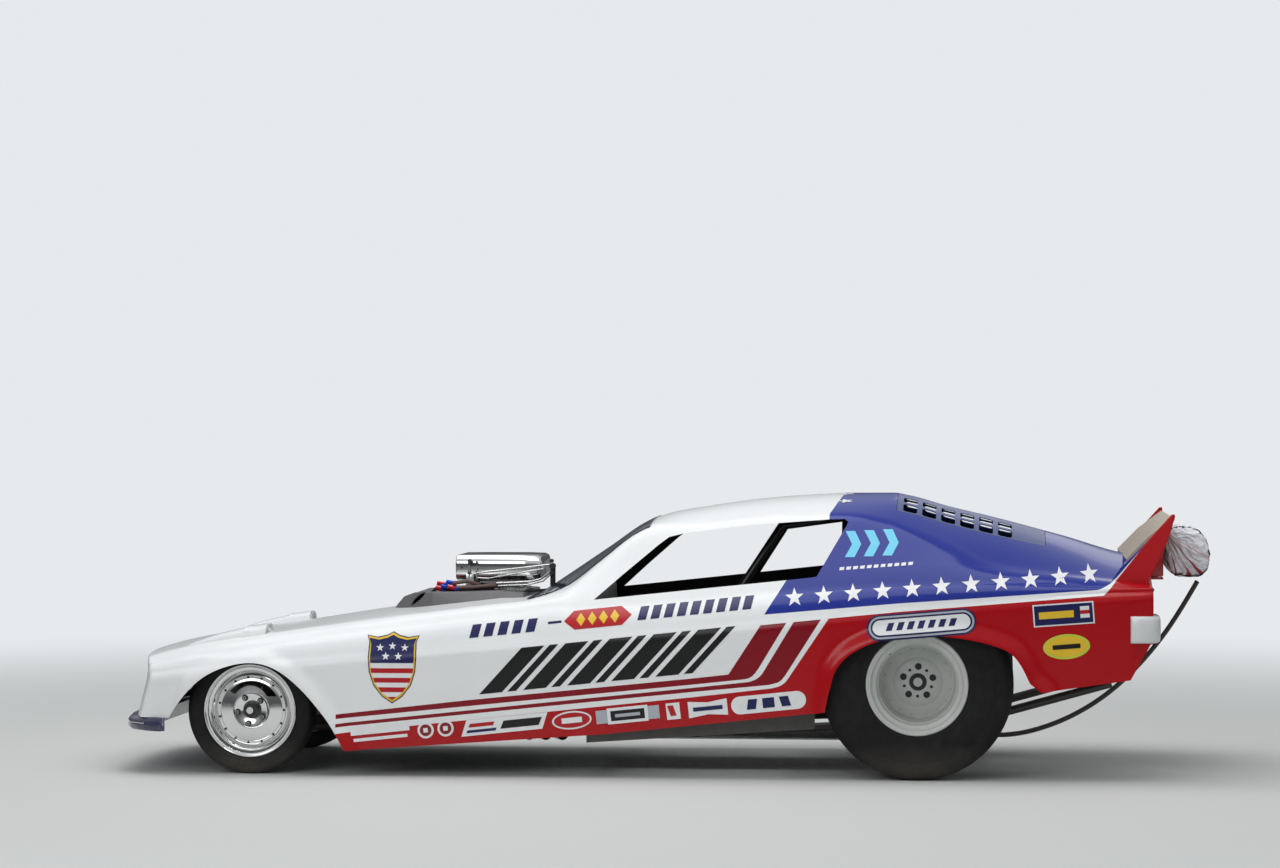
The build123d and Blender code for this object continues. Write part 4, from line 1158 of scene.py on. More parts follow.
def turned(profile, steps=96, closed=False):
    """Spins a profile of (radius, distance outboard) points about the wheel's axis."""
    bm = bmesh.new()
    verts = [bm.verts.new((0, y, r)) for r, y in profile]
    edges = [bm.edges.new(pair) for pair in zip(verts, verts[1:])]
    if closed:
        edges.append(bm.edges.new((verts[-1], verts[0])))
    bmesh.ops.spin(bm, geom=verts + edges, cent=(0, 0, 0), axis=(0, 1, 0), angle=2 * pi,
                   steps=steps, use_merge=True)
    bmesh.ops.remove_doubles(bm, verts=bm.verts[:], dist=0.00005)
    face_outward(bm)
    return bm


def arc_points(centre_r, centre_y, radius, start, end, count):
    """Points of a rounded corner in a (radius, distance) profile; angles in degrees."""
    return [(centre_r + radius * sin(radians(start + (end - start) * k / count)),
             centre_y + radius * cos(radians(start + (end - start) * k / count)))
            for k in range(count + 1)]


def coat(made, material):
    """Gives the faces round one step's new vertices the number of their material."""
    for vertex in made["verts"]:
        for face in vertex.link_faces:
            face.material_index = material


def add_drum(bm, x, z, y0, y1, radius, sides=16, flat=0.0, material=0):
    """A short round or six-sided boss along Y, with its outer edge eased."""
    coat(bmesh.ops.create_cone(bm, cap_ends=True, segments=sides, radius1=radius,
                               radius2=radius - flat, depth=abs(y1 - y0),
                               matrix=Matrix.Translation((x, (y0 + y1) / 2, z))
                               @ Matrix.Rotation(-pi / 2 if y1 > y0 else pi / 2, 4, "X")), material)


def drum_ring(bm, count, phase, reach, *drum):
    """The same boss set round the wheel's middle."""
    for k in range(count):
        angle = 2 * pi * (k + phase) / count
        add_drum(bm, reach * sin(angle), reach * cos(angle), *drum)


def on_both_sides(mesh, y, x, z, name, node, body, materials, sharp=30):
    """Places one wheel part on each side of the car, the right one turned half round."""
    for side, sign in (("left", 1), ("right", -1)):
        bm = opened(mesh)
        if sign < 0:
            bmesh.ops.rotate(bm, cent=(0, 0, 0), matrix=Matrix.Rotation(pi, 3, "Z"), verts=bm.verts[:])
        bmesh.ops.translate(bm, verts=bm.verts[:], vec=(x, sign * y, z))
        piece = put_in_place(bm, f"{name}_{side}", body.format(side=side), materials, sharp=sharp)
        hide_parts(f"{node}_{side}")


mirror_alloy = finish("mirror_alloy", (0.8, 0.8, 0.8), 0.07, metallic=1.0, grain=30, spread=0.05,
                      bump=0.015, dust=0.1, dust_height=0.3)
brushed_alloy = finish("brushed_alloy", (0.62, 0.62, 0.61), 0.24, metallic=1.0, grain=70,
                       spread=0.1, bump=0.06, dust=0.1, dust_height=0.4)
dark_steel_and_painted_shade = finish("dark_steel_and_painted_shade", (0.022, 0.022, 0.025), 0.48, metallic=0.15, grain=90, spread=0.3,
                    bump=0.08, dust=0.1, dust_height=0.4)
wheel_grey = finish("wheel_grey", (0.56, 0.58, 0.56), 0.38, grain=34, spread=0.06, bump=0.04,
                    coat=0.2, dust=0.35, dust_height=0.75)

# Rubber with a grey bloom, fine scuffs round the tread and dust near the floor
rubber, tree, shader = new_material("tyre_rubber")
grained = grain_on(tree, 26.0)
bloom = ramp(tree, clouds(tree, object_place(tree), 7.0, 8.0, 0.7), 0.42, 0.75, 0.0, 0.55)
shade = mixed(tree, bloom, colour(0.007, 0.007, 0.008), colour(0.022, 0.0215, 0.021))
connect(shader, Base_Color=mixed(tree, dust_on(tree, 0.16, 0.45), shade, colour(0.21, 0.19, 0.15)),
        Roughness=ramp(tree, grained["Mask"], 0, 1, 0.55, 0.85),
        Normal=relief(tree, 0.35, 0.0015, grained["Height"]), Specular_IOR_Level=0.25)

# Front rim, from its inner flange out over the stepped lip and in along the disc
FRONT_HALF = 0.058
front_profile = [(0.19, -FRONT_HALF), (0.208, -FRONT_HALF), (0.208, -FRONT_HALF - 0.007),
                 (0.196, -FRONT_HALF - 0.008), (0.186, -0.045), (0.15, -0.04), (0.15, 0.01),
                 (0.06, 0.024), (0.052, -0.028), (0.0145, -0.028), (0.0145, 0.03), (0.05, 0.036),
                 (0.064, 0.04), (0.073, 0.041), (0.077, 0.038), (0.082, 0.03), (0.1, 0.027),
                 (0.13, 0.023), (0.138, 0.021), (0.1395, 0.0235), (0.1515, 0.0235), (0.1535, 0.021),
                 (0.1545, 0.013), (0.158, 0.012), (0.1715, 0.026), (0.1755, 0.032), (0.1775, 0.04),
                 (0.18, 0.0415), (0.192, 0.0425), (0.1945, 0.0445), (0.1965, 0.056),
                 (0.1985, 0.0625)] + arc_points(0.2035, 0.0625, 0.0042, -90, 90, 5) + [
                 (0.208, FRONT_HALF), (0.19, FRONT_HALF)]
rim = turned(front_profile, steps=128, closed=True)
crescent = ([(0.128 * sin(a), 0.128 * cos(a)) for a in
             (radians(-62 + 112 * k / 14) for k in range(15))]
            + [(0.006 + 0.094 * sin(a), 0.094 * cos(a) + 0.002 + 0.012 * sin((a + 1.1) * 1.55))
               for a in (radians(46 - 100 * k / 12) for k in range(13))])
crescent_bm = bmesh.new()
face = crescent_bm.faces.new([crescent_bm.verts.new((x, -0.02, z)) for x, z in crescent])
grown = bmesh.ops.extrude_face_region(crescent_bm, geom=[face])["geom"]
bmesh.ops.translate(crescent_bm, verts=only(bmesh.types.BMVert, grown), vec=(0, 0.08, 0))
face_outward(crescent_bm)
rim = opened(carved(to_mesh(rim), to_mesh(crescent_bm)))
drum_ring(rim, 15, 0.25, 0.1455, 0.0225, 0.0275, 0.0062, 12, 0.001, 1)
drum_ring(rim, 5, 0.36, 0.0603, 0.0395, 0.0425, 0.0145, 24, 0.001, 1)
drum_ring(rim, 5, 0.36, 0.0603, 0.0415, 0.056, 0.009, 6, 0.0015, 0)
drum_ring(rim, 5, 0.36, 0.0603, 0.0545, 0.059, 0.0058, 12, 0.001, 1)
add_drum(rim, 0, 0, 0.036, 0.058, 0.034, 40, 0.003, 1)
add_drum(rim, 0, 0, 0.057, 0.066, 0.019, 32, 0.004, 0)
add_drum(rim, -0.128, -0.1285, 0.03, 0.045, 0.0045, 10, 0.001, 1)
front_rim = to_mesh(rim)
on_both_sides(front_rim, FRONT_WHEEL_Y, FRONT_AXLE_X, FRONT_AXLE_Z, "front_rim", "front_wheel",
              "{side}_front_wheel", [mirror_alloy, dark_steel_and_painted_shade], sharp=24)

front_side = ([(0.19, 0.0575), (0.2085, 0.0578), (0.2105, 0.066), (0.216, 0.0686), (0.224, 0.0694),
               (0.2245, 0.0688), (0.2255, 0.0694), (0.238, 0.07), (0.246, 0.0695), (0.2465, 0.0688),
               (0.2475, 0.069)] + arc_points(0.254, 0.043, 0.0255, 0, 62, 8)
              + [(0.2785, 0.052), (0.28, 0.046), (0.28, 0.0355), (0.2745, 0.0345),
                 (0.2745, 0.03), (0.28, 0.029), (0.28, 0.011), (0.2745, 0.01),
                 (0.2745, 0.0055), (0.28, 0.0045), (0.28, 0.0)])
front_tyre = turned(front_side + [(r, -y) for r, y in front_side[-2::-1]], steps=96, closed=True)
on_both_sides(to_mesh(front_tyre), FRONT_WHEEL_Y, FRONT_AXLE_X, FRONT_AXLE_Z, "front_rubber",
              "front_tyre", "{side}_front_wheel", [rubber])

# The rear pair are wide and deeply dished, painted pale grey, with riveted centres
REAR_HALF = 0.188
rear_profile = ([(0.205, -REAR_HALF), (0.223, -REAR_HALF), (0.223, -0.196), (0.2, -0.196),
                 (0.196, -0.02), (0.17, -0.014), (0.022, -0.014), (0.022, -0.004), (0.037, -0.004),
                 (0.038, 0.002), (0.041, 0.004), (0.098, 0.001), (0.108, -0.004), (0.15, -0.004),
                 (0.158, 0.0), (0.161, 0.016), (0.1625, 0.06), (0.165, 0.064), (0.168, 0.12),
                 (0.178, 0.13), (0.179, 0.164), (0.185, 0.168), (0.1935, 0.171), (0.1985, 0.176),
                 (0.2005, 0.186), (0.2035, 0.19)] + arc_points(0.2165, 0.1885, 0.0068, -60, 90, 6)
                + [(0.223, REAR_HALF), (0.205, REAR_HALF)])
rim = turned(rear_profile, steps=128, closed=True)
drum_ring(rim, 16, 0.5, 0.146, -0.005, 0.0005, 0.0052, 10, 0.0022, 0)
# The thin dark discs are painted shade for the holes of the centre plate, which is left solid: a large one
# round each of the five nuts, and five small ones between them.
drum_ring(rim, 5, -0.02, 0.0675, -0.002, 0.0042, 0.0155, 24, 0.0008, 1)
drum_ring(rim, 5, -0.02, 0.0675, 0.004, 0.016, 0.0088, 6, 0.001, 1)
drum_ring(rim, 5, 0.48, 0.0625, -0.002, 0.0038, 0.0072, 16, 0.0004, 1)
add_drum(rim, 0, 0, -0.01, 0.0035, 0.0385, 40, 0.0005, 1)
add_drum(rim, 0.118, 0.128, 0.1, 0.13, 0.0045, 10, 0.001, 1)
on_both_sides(to_mesh(rim), REAR_WHEEL_Y, 0.0, REAR_AXLE_Z, "rear_rim", "rear_wheel", "rear_wheels",
              [wheel_grey, dark_steel_and_painted_shade], sharp=24)

rear_side = ([(0.205, 0.1875), (0.2235, 0.1878), (0.226, 0.1965), (0.236, 0.1985), (0.25, 0.1992),
              (0.2505, 0.1984), (0.252, 0.1992), (0.3, 0.2), (0.34, 0.1985), (0.341, 0.1975),
              (0.343, 0.1978)] + arc_points(0.369, 0.152, 0.044, 0, 70, 9)
             + [(0.4165, 0.156), (0.418, 0.144), (0.418, 0.0)])
rear_tyre = turned(rear_side + [(r, -y) for r, y in rear_side[-2::-1]], steps=112, closed=True)
on_both_sides(to_mesh(rear_tyre), REAR_WHEEL_Y, 0.0, REAR_AXLE_Z, "rear_rubber", "rear_tyre",
              "rear_wheels", [rubber])

# Front of the body: a dark blue chin below the nose, with a bright strip along its edge.


def rounded_box(bm, low, high, radius=0.004, segments=3, material=0):
    """A box between two corners with its edges rounded."""
    size = [b - a for a, b in zip(low, high)]
    middle = [(a + b) / 2 for a, b in zip(low, high)]
    made = bmesh.ops.create_cube(bm, size=1.0, matrix=Matrix.Translation(middle)
                                 @ Matrix.Diagonal((*size, 1)))
    edges = list({e for v in made["verts"] for e in v.link_edges})
    coat(made, material)
    bmesh.ops.bevel(bm, geom=edges, offset=min(radius, min(size) * 0.45), segments=segments,
                    affect="EDGES", profile=0.5, material=-1)


def tube(bm, start, end, radius, sides=16, material=0):
    """A straight round rod between two points."""
    a, b = Vector(start), Vector(end)
    turn = (b - a).to_track_quat("Z", "Y").to_matrix().to_4x4()
    coat(bmesh.ops.create_cone(bm, cap_ends=True, segments=sides, radius1=radius, radius2=radius,
                               depth=(b - a).length, matrix=Matrix.Translation((a + b) / 2) @ turn),
         material)


navy_enamel = finish("navy_enamel", (0.01, 0.014, 0.075), 0.22, grain=20, spread=0.1, coat=0.6,
                     dust=0.4, dust_height=0.4)
CHIN = [
    # y, front x, rear x
    (0.000, 3.578, 3.440), (0.200, 3.573, 3.440), (0.400, 3.558, 3.438), (0.560, 3.534, 3.432),
    (0.680, 3.494, 3.405), (0.760, 3.420, 3.350), (0.788, 3.352, 3.318),
]
whole_chin = [(-y, front, rear) for y, front, rear in CHIN[:0:-1]] + CHIN
rings = []
for y, front, rear in whole_chin:
    depth = front - rear
    rings.append([(rear, y, 0.192), (front - 0.3 * depth, y, 0.19), (front - 0.008, y, 0.192),
                  (front, y, 0.2), (front - 0.002, y, 0.232), (front - 0.012, y, 0.243),
                  (front - 0.4 * depth, y, 0.247), (rear, y, 0.249)])
chin = put_in_place(lofted(rings), "chin_spoiler", "tilt_body",
                    [navy_enamel, mirror_alloy], sharp=50)
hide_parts("front_spoiler")
rings = []
for y, front, rear in whole_chin[1:-1]:
    rings.append([(front - 0.0035, y, 0.221), (front + 0.0012, y, 0.221), (front + 0.002, y, 0.224),
                  (front + 0.001, y, 0.227), (front - 0.0035, y, 0.227)])
put_in_place(lofted(rings), "chin_strip", "tilt_body", [mirror_alloy])

# The scoop on top of the blower: a polished box with rounded edges, three throttle plates in
# its open mouth, and a lever linkage with rods back to a pivot at the foot of the screen.
HAT_SECTIONS = [
    # x, half width, low z, high z, corner radius
    (2.104, 0.1940, 0.840, 0.948, 0.034), (2.098, 0.1985, 0.837, 0.9525, 0.040),
    (2.000, 0.2000, 0.836, 0.954, 0.042), (1.800, 0.2000, 0.836, 0.954, 0.042),
    (1.735, 0.1980, 0.838, 0.952, 0.042), (1.718, 0.1900, 0.846, 0.944, 0.040),
    (1.7125, 0.176, 0.860, 0.930, 0.030),
]


def rounded_ring(x, half, low, high, radius):
    middle = (low + high) / 2
    return [(x, y, middle + up) for y, up in round_cornered(half, (high - low) / 2, radius)]


bm = lofted([rounded_ring(*row) for row in HAT_SECTIONS])
mouth = max(bm.faces, key=lambda f: f.calc_center_median().x)
bmesh.ops.inset_region(bm, faces=[mouth], thickness=0.01)
pocket = bmesh.ops.extrude_face_region(bm, geom=[mouth])["geom"]
bmesh.ops.delete(bm, geom=[mouth], context="FACES_ONLY")
bmesh.ops.translate(bm, verts=only(bmesh.types.BMVert, pocket), vec=(-0.05, 0, 0))
# The pocket's walls and back are painted shade: they take the dark material to stand for the depth of the
# open intake.
for face in only(bmesh.types.BMFace, pocket):
    face.material_index = 1
for y in (-0.118, 0.0, 0.118):
    for x, tip, capped, narrow, broad, depth in ((2.072, 97, True, 0.047, 0.047, 0.003),
                                                 (2.08, 90, False, 0.05, 0.0525, 0.026)):
        coat(bmesh.ops.create_cone(bm, cap_ends=capped, segments=40, radius1=narrow, radius2=broad,
                                   depth=depth, matrix=Matrix.Translation((x, y, 0.895))
                                   @ Matrix.Rotation(radians(tip), 4, "Y")), 2)
tube(bm, (2.076, -0.188, 0.895), (2.076, 0.206, 0.895), 0.0045, 12, 3)
rounded_box(bm, (1.812, -0.14, 0.801), (2.058, 0.14, 0.837), 0.006, 3, 0)
for k in range(5):
    for y in (-0.128, 0.128):
        tube(bm, (1.83 + 0.052 * k, y, 0.834), (1.83 + 0.052 * k, y, 0.842), 0.006, 6, 3)
hat = put_in_place(bm, "injector_scoop", "chassis",
                   [mirror_alloy, dark_steel_and_painted_shade, brushed_alloy, dark_steel_and_painted_shade], sharp=30)
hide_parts("injector_hat")

blue_anodised = finish("blue_anodised", (0.02, 0.065, 0.42), 0.28, metallic=0.8, grain=60)
red_anodised = finish("red_anodised", (0.48, 0.016, 0.03), 0.28, metallic=0.8, grain=60)
braided_hose = finish("braided_hose", (0.16, 0.1, 0.09), 0.55, metallic=0.3, grain=220, spread=0.35,
                      bump=0.5)


def bent_rod(bm, points, radius, sides=12, material=0):
    """A rod bent through several points, with a ball at each bend."""
    for a, b in zip(points, points[1:]):
        tube(bm, a, b, radius, sides, material)
    for p in points[1:-1]:
        coat(bmesh.ops.create_uvsphere(bm, u_segments=sides, v_segments=8, radius=radius,
                                       matrix=Matrix.Translation(p)), material)


bm = bmesh.new()
# throttle levers on the left end of the shaft, and their upright carrier
for start, end, radius, sides, tone in (
        ((2.04, 0.206, 0.812), (2.04, 0.206, 0.925), 0.007, 14, 0),
        ((2.006, 0.21, 0.845), (2.006, 0.21, 0.925), 0.005, 12, 0),
        ((2.036, 0.196, 0.926), (2.036, 0.226, 0.926), 0.01, 14, 1),
        ((2.006, 0.196, 0.912), (2.006, 0.226, 0.912), 0.007, 12, 1),
        ((2.04, 0.19, 0.872), (2.04, 0.224, 0.872), 0.006, 12, 1)):
    tube(bm, start, end, radius, sides, tone)
rounded_box(bm, (2.018, 0.2, 0.815), (2.056, 0.212, 0.868), 0.003, 2, 0)
rounded_box(bm, (2.004, 0.203, 0.905), (2.046, 0.213, 0.918), 0.003, 2, 1)
# rods back to the pivot
for radius, points in (
        (0.0042, [(2.005, 0.222, 0.872), (1.715, 0.212, 0.906), (1.664, 0.2, 0.912)]),
        (0.0034, [(2.0, 0.222, 0.85), (1.95, 0.222, 0.848), (1.7, 0.214, 0.892)]),
        (0.0052, [(1.915, 0.22, 0.826), (1.76, 0.22, 0.834), (1.712, 0.214, 0.846),
                  (1.668, 0.204, 0.88)]),
        (0.004, [(1.905, 0.232, 0.815), (1.77, 0.232, 0.82), (1.7, 0.226, 0.838),
                  (1.664, 0.214, 0.872)])):
    bent_rod(bm, points, radius, 10, 0)
# the pivot's bracket and its quadrant, carried down beside the blower
rounded_box(bm, (1.648, 0.186, 0.8), (1.672, 0.198, 0.905), 0.003, 2, 1)
tube(bm, (1.66, 0.176, 0.905), (1.66, 0.224, 0.905), 0.013, 18, 1)
tube(bm, (1.664, 0.19, 0.928), (1.664, 0.216, 0.928), 0.009, 14, 1)
tube(bm, (1.664, 0.19, 0.874), (1.664, 0.222, 0.874), 0.01, 14, 1)
bent_rod(bm, [(1.66, 0.19, 0.805), (1.69, 0.15, 0.795), (1.79, 0.148, 0.786)], 0.006, 12, 1)
put_in_place(bm, "throttle_linkage", "chassis", [brushed_alloy, dark_steel_and_painted_shade])

# Fuel fittings and hoses on the left of the manifold plate
bm = bmesh.new()
for (x, y, z), tone in (((2.17, 0.205, 0.822), 1), ((2.15, 0.215, 0.808), 0), ((2.128, 0.205, 0.828), 0),
                        ((2.118, 0.222, 0.804), 1), ((2.18, 0.19, 0.8), 1)):
    tube(bm, (x + 0.018, y, z + 0.003), (x - 0.016, y, z - 0.003), 0.0105, 6, tone)
    tube(bm, (x - 0.014, y, z - 0.003), (x - 0.03, y, z - 0.006), 0.0125, 6, 1 - tone)
for radius, tone, points in (
        (0.0085, 2, [(2.11, 0.212, 0.826), (2.05, 0.212, 0.834), (1.99, 0.206, 0.82)]),
        (0.0095, 2, [(2.098, 0.222, 0.806), (2.02, 0.226, 0.808), (1.93, 0.22, 0.816),
                     (1.9, 0.205, 0.812)]),
        (0.0085, 3, [(2.13, 0.2, 0.792), (2.05, 0.2, 0.788), (1.96, 0.196, 0.794)]),
        (0.0085, 3, [(2.15, 0.196, 0.78), (2.03, 0.2, 0.776), (1.93, 0.196, 0.782)]),
        (0.008, 3, [(2.196, 0.19, 0.8), (2.215, 0.188, 0.78), (2.215, 0.186, 0.74)])):
    bent_rod(bm, points, radius, 12, tone)
rounded_box(bm, (1.93, 0.178, 0.79), (2.02, 0.214, 0.818), 0.006, 3, 3)
tube(bm, (1.925, 0.2, 0.818), (1.885, 0.206, 0.822), 0.011, 6, 1)
rounded_box(bm, (2.06, 0.15, 0.772), (2.17, 0.196, 0.8), 0.006, 2, 3)
put_in_place(bm, "fuel_fittings", "chassis",
             [blue_anodised, red_anodised, braided_hose, dark_steel_and_painted_shade])

# Tail: a bare alloy blade between two upright fins that carry on the line of the sides,
# white bumper corners, red lamps, and the red bracket of the parachute pack.
raw_alloy = finish("raw_alloy", (0.55, 0.47, 0.38), 0.42, metallic=0.75, grain=26, spread=0.16, bump=0.12)
BLADE_FOOT, BLADE_TIP = (-0.905, 0.962), (-1.105, 1.14)
rings = []
for y in (-0.64, -0.3, 0.0, 0.3, 0.64):
    (fx, fz), (tx, tz) = BLADE_FOOT, BLADE_TIP
    rings.append([(fx, y, fz), ((fx + tx) / 2 + 0.006, y, (fz + tz) / 2 + 0.007), (tx, y, tz),
                  (tx - 0.008, y, tz + 0.001), (tx - 0.009, y, tz - 0.008),
                  ((fx + tx) / 2, y, (fz + tz) / 2 - 0.004), (fx - 0.004, y, fz - 0.01)])
blade = put_in_place(lofted(rings), "rear_blade", "tilt_body", [raw_alloy], sharp=50)
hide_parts("rear_spoiler")
# The fins stand on the shoulders of the tail; the paint's white border runs up them
FIN = [(-0.82, 0.8), (-0.842, 0.87), (-0.88, 0.925), (-0.95, 0.99), (-1.1, 1.156),
       (-1.112, 1.158), (-1.116, 1.148), (-1.09, 1.06), (-1.052, 0.96), (-1.006, 0.88), (-1.004, 0.78)]
bm = bmesh.new()
centre = Vector((sum(x for x, z in FIN) / len(FIN), sum(z for x, z in FIN) / len(FIN)))
for sign in (1, -1):
    rings = []
    for level, inset in ((0.0, 0.004), (0.003, 0.0), (0.011, 0.0), (0.014, 0.004)):
        ring = []
        for x, z in FIN:
            p = Vector((x, z))
            p += (centre - p).normalized() * inset
            lean = 0.64 + level + max(0.0, 1.0 - (p.y - 0.78) / 0.13) * 0.06
            ring.append((p.x, sign * lean, p.y))
        rings.append(ring)
    bm.from_mesh(to_mesh(lofted(rings)))
fins = put_in_place(bm, "tail_fins", "tilt_body", [painted], sharp=40)
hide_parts("spoiler_fences")

white_enamel = finish("white_enamel", (0.74, 0.75, 0.76), 0.22, grain=16, spread=0.04, coat=0.5,
                      dust=0.2, dust_height=0.9)
BUMPER_PLAN = [(-1.006, 0.56), (-1.03, 0.566), (-1.048, 0.6), (-1.05, 0.7), (-1.048, 0.77),
               (-1.036, 0.812), (-1.01, 0.833), (-0.96, 0.838), (-0.925, 0.836), (-0.918, 0.826),
               (-0.93, 0.8), (-1.0, 0.77)]
bm = bmesh.new()
for sign in (1, -1):
    rings = []
    for z, inset in ((0.605, 0.012), (0.61, 0.004), (0.622, 0.0), (0.664, -0.001), (0.706, 0.0),
                     (0.718, 0.004), (0.722, 0.012)):
        rings.append([(x + (inset if x < -0.95 else 0.0), sign * (y - (inset if y > 0.75 else 0.0)), z)
                      for x, y in BUMPER_PLAN])
    bm.from_mesh(to_mesh(lofted(rings)))
bumper = put_in_place(bm, "bumper_corners", "tilt_body", [white_enamel], sharp=60)
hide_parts("rear_bumper")

red_lens, tree, shader = new_material("red_lens")
ribs = wire(tree, "TexWave", Vector=object_place(tree), Scale=60.0, set_bands_direction="Y").outputs[1]
connect(shader, Base_Color=colour(0.42, 0.008, 0.01), Coat_Weight=0.8,
        Roughness=ramp(tree, ribs, 0, 1, 0.12, 0.3), Normal=relief(tree, 0.3, 0.002, ribs))
bm = bmesh.new()
for sign in (1, -1):
    for k in range(3):
        y = 0.476 + 0.076 * k
        low, high = sorted((sign * y, sign * (y + 0.07)))
        rounded_box(bm, (-1.0205, low, 0.764), (-1.009, high, 0.826), 0.004, 3, 0)
    low, high = sorted((sign * 0.47, sign * 0.706))
    rounded_box(bm, (-1.0165, low, 0.759), (-1.006, high, 0.831), 0.003, 2, 1)
lamps = put_in_place(bm, "tail_lamp_lenses", "tilt_body", [red_lens, mirror_alloy])
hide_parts("tail_lamps")

bracket_red = finish("bracket_red", (0.46, 0.012, 0.02), 0.28, grain=24, coat=0.4)
bm = bmesh.new()
for y in (-0.15, 0.142):
    rounded_box(bm, (-1.0865, y, 0.868), (-1.0062, y + 0.008, 0.972), 0.003, 2, 0)
rounded_box(bm, (-1.0125, -0.15, 0.852), (-1.0062, 0.15, 0.975), 0.002, 2, 0)
rounded_box(bm, (-1.0865, -0.15, 0.852), (-1.0062, 0.15, 0.862), 0.003, 2, 0)
for y in (-0.12, 0.12):
    for z in (0.875, 0.955):
        tube(bm, (-1.014, y, z), (-1.02, y, z), 0.008, 6, 1)
bracket = put_in_place(bm, "pack_bracket", "tilt_body", [bracket_red, dark_steel_and_painted_shade])
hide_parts("parachute_bracket")

# The nose is open behind a lattice of flat strips that follows its bowed face, and each
# round lamp stands in its own bright bucket behind a clear bulged lens.


def nose_face(y, z):
    """The x of the nose's outer face at a height and a distance from the middle."""
    hit = skin_tree.ray_cast(Vector((4.0, y, z)), Vector((-1, 0, 0)))
    return hit[0].x


GRILLE_BAR = 0.006
GRILLE_COLUMNS, GRILLE_ROWS = 22, 7
grille_grey = finish("grille_grey", (0.055, 0.058, 0.066), 0.35, metallic=0.6, grain=60, spread=0.2,
                     dust=0.45, dust_height=0.7)
bm = bmesh.new()
low_z, high_z = GRILLE_HEIGHTS
row_pitch = (high_z - low_z - GRILLE_BAR) / GRILLE_ROWS
column_pitch = (2 * GRILLE_HALF - GRILLE_BAR) / GRILLE_COLUMNS
half = GRILLE_BAR / 2
for row in range(GRILLE_ROWS + 1):
    z = low_z + row * row_pitch + half
    rings = []
    for k in range(25):
        y = (GRILLE_HALF - 0.0005) * (k / 12 - 1)
        x = nose_face(y, z) - 0.005
        rings.append([(x, y, z - half), (x + 0.001, y, z), (x, y, z + half), (x - 0.036, y, z + half * 0.8),
                      (x - 0.036, y, z - half * 0.8)])
    bm.from_mesh(to_mesh(lofted(rings)))
for column in range(GRILLE_COLUMNS + 1):
    y = -GRILLE_HALF + half + column * column_pitch
    rings = []
    for k in range(9):
        z = low_z + 0.0005 + (high_z - low_z - 0.001) * k / 8
        x = nose_face(y, z) - 0.0065
        rings.append([(x, y - half, z), (x + 0.001, y, z), (x, y + half, z), (x - 0.034, y + half * 0.8, z),
                      (x - 0.034, y - half * 0.8, z)])
    bm.from_mesh(to_mesh(lofted(rings)))
grille = put_in_place(bm, "grille_lattice", "tilt_body", [grille_grey], sharp=40)
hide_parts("grille")

clear_lens, tree, shader = new_material("clear_lens")
flutes = wire(tree, "TexWave", Vector=object_place(tree), Scale=34.0, set_bands_direction="Y").outputs[1]
connect(shader, Base_Color=colour(0.93, 0.95, 0.97), Transmission_Weight=0.92, IOR=1.42,
        Roughness=ramp(tree, flutes, 0, 1, 0.03, 0.1), Normal=relief(tree, 0.35, 0.002, flutes))
LAMP_FACE_X = 3.411
bucket = [(0.0, 0.006), (0.03, 0.006), (0.06, 0.018), (0.0685, 0.034), (0.07, 0.04),
          (0.0745, 0.0425), (0.079, 0.04), (0.0805, 0.033), (0.0805, 0.0), (0.0, 0.0)]
lens = [(0.0, 0.049), (0.018, 0.0482), (0.036, 0.0458), (0.052, 0.0422), (0.064, 0.0385),
        (0.069, 0.0365), (0.069, 0.0345), (0.064, 0.0355), (0.052, 0.0392), (0.036, 0.0428),
        (0.018, 0.0452), (0.0, 0.046)]
for kind, profile in (("bucket", bucket), ("lens", lens)):
    bm = bmesh.new()
    for sign in (1, -1):
        drum = turned(profile, steps=64)
        bmesh.ops.rotate(drum, cent=(0, 0, 0), matrix=Matrix.Rotation(-pi / 2, 3, "Z"), verts=drum.verts[:])
        bmesh.ops.translate(drum, verts=drum.verts[:], vec=(LAMP_FACE_X, sign * LAMP_Y, LAMP_Z))
        bm.from_mesh(to_mesh(drum))
    if kind == "bucket":
        for sign in (1, -1):
            for k in range(3):
                angle = 2 * pi * (k + 0.25) / 3
                y, z = sign * LAMP_Y + 0.0748 * sin(angle), LAMP_Z + 0.0748 * cos(angle)
                tube(bm, (LAMP_FACE_X + 0.038, y, z), (LAMP_FACE_X + 0.0445, y, z), 0.003, 10, 1)
            bmesh.ops.create_uvsphere(bm, u_segments=20, v_segments=12, radius=0.009,
                                      matrix=Matrix.Translation((LAMP_FACE_X + 0.016, sign * LAMP_Y, LAMP_Z)))
    lamp = put_in_place(bm, f"headlamp_{kind}", "tilt_body",
                        [mirror_alloy, dark_steel_and_painted_shade] if kind == "bucket" else [clear_lens], sharp=30)
    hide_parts("headlamps")

# The parachute is stuffed into a loose bag of white cloth, streaked red towards its lower front. It is tied
# at the top front over the bracket, so its folds fan out from there, and its weight hangs low at the rear.


def swelled(mesh, voxel, cap):
    """A closed shape blown up from inside as cloth, with no point moved past the cap."""
    fine = modified(mesh, "REMESH", mode="VOXEL", voxel_size=voxel)
    pad = linked("pad", fine)
    blown = fine.copy()
    cloth = pad.modifiers.new("cloth", "CLOTH")
    cloth.settings.use_pressure = True
    cloth.settings.uniform_pressure_force = 4.0
    cloth.settings.effector_weights.gravity = 0
    for number in range(1, 21):
        scene.frame_set(number)
    graph = bpy.context.evaluated_depsgraph_get()
    blown = bpy.data.meshes.new_from_object(pad.evaluated_get(graph))
    for vertex, start in zip(blown.vertices, fine.vertices):
        move = vertex.co - start.co
        if move.length > cap:
            vertex.co = start.co + move.normalized() * cap
    scene.frame_set(1)
    bpy.data.objects.remove(pad)
    return blown


def subdivided(mesh):
    return modified(mesh, "SUBSURF", levels=1)


def hold_inside(bm, low, high):
    """Moves the vertices that have left a box back to its sides."""
    for vertex in bm.verts:
        vertex.co = [min(b, max(a, value)) for a, value, b in zip(low, vertex.co, high)]


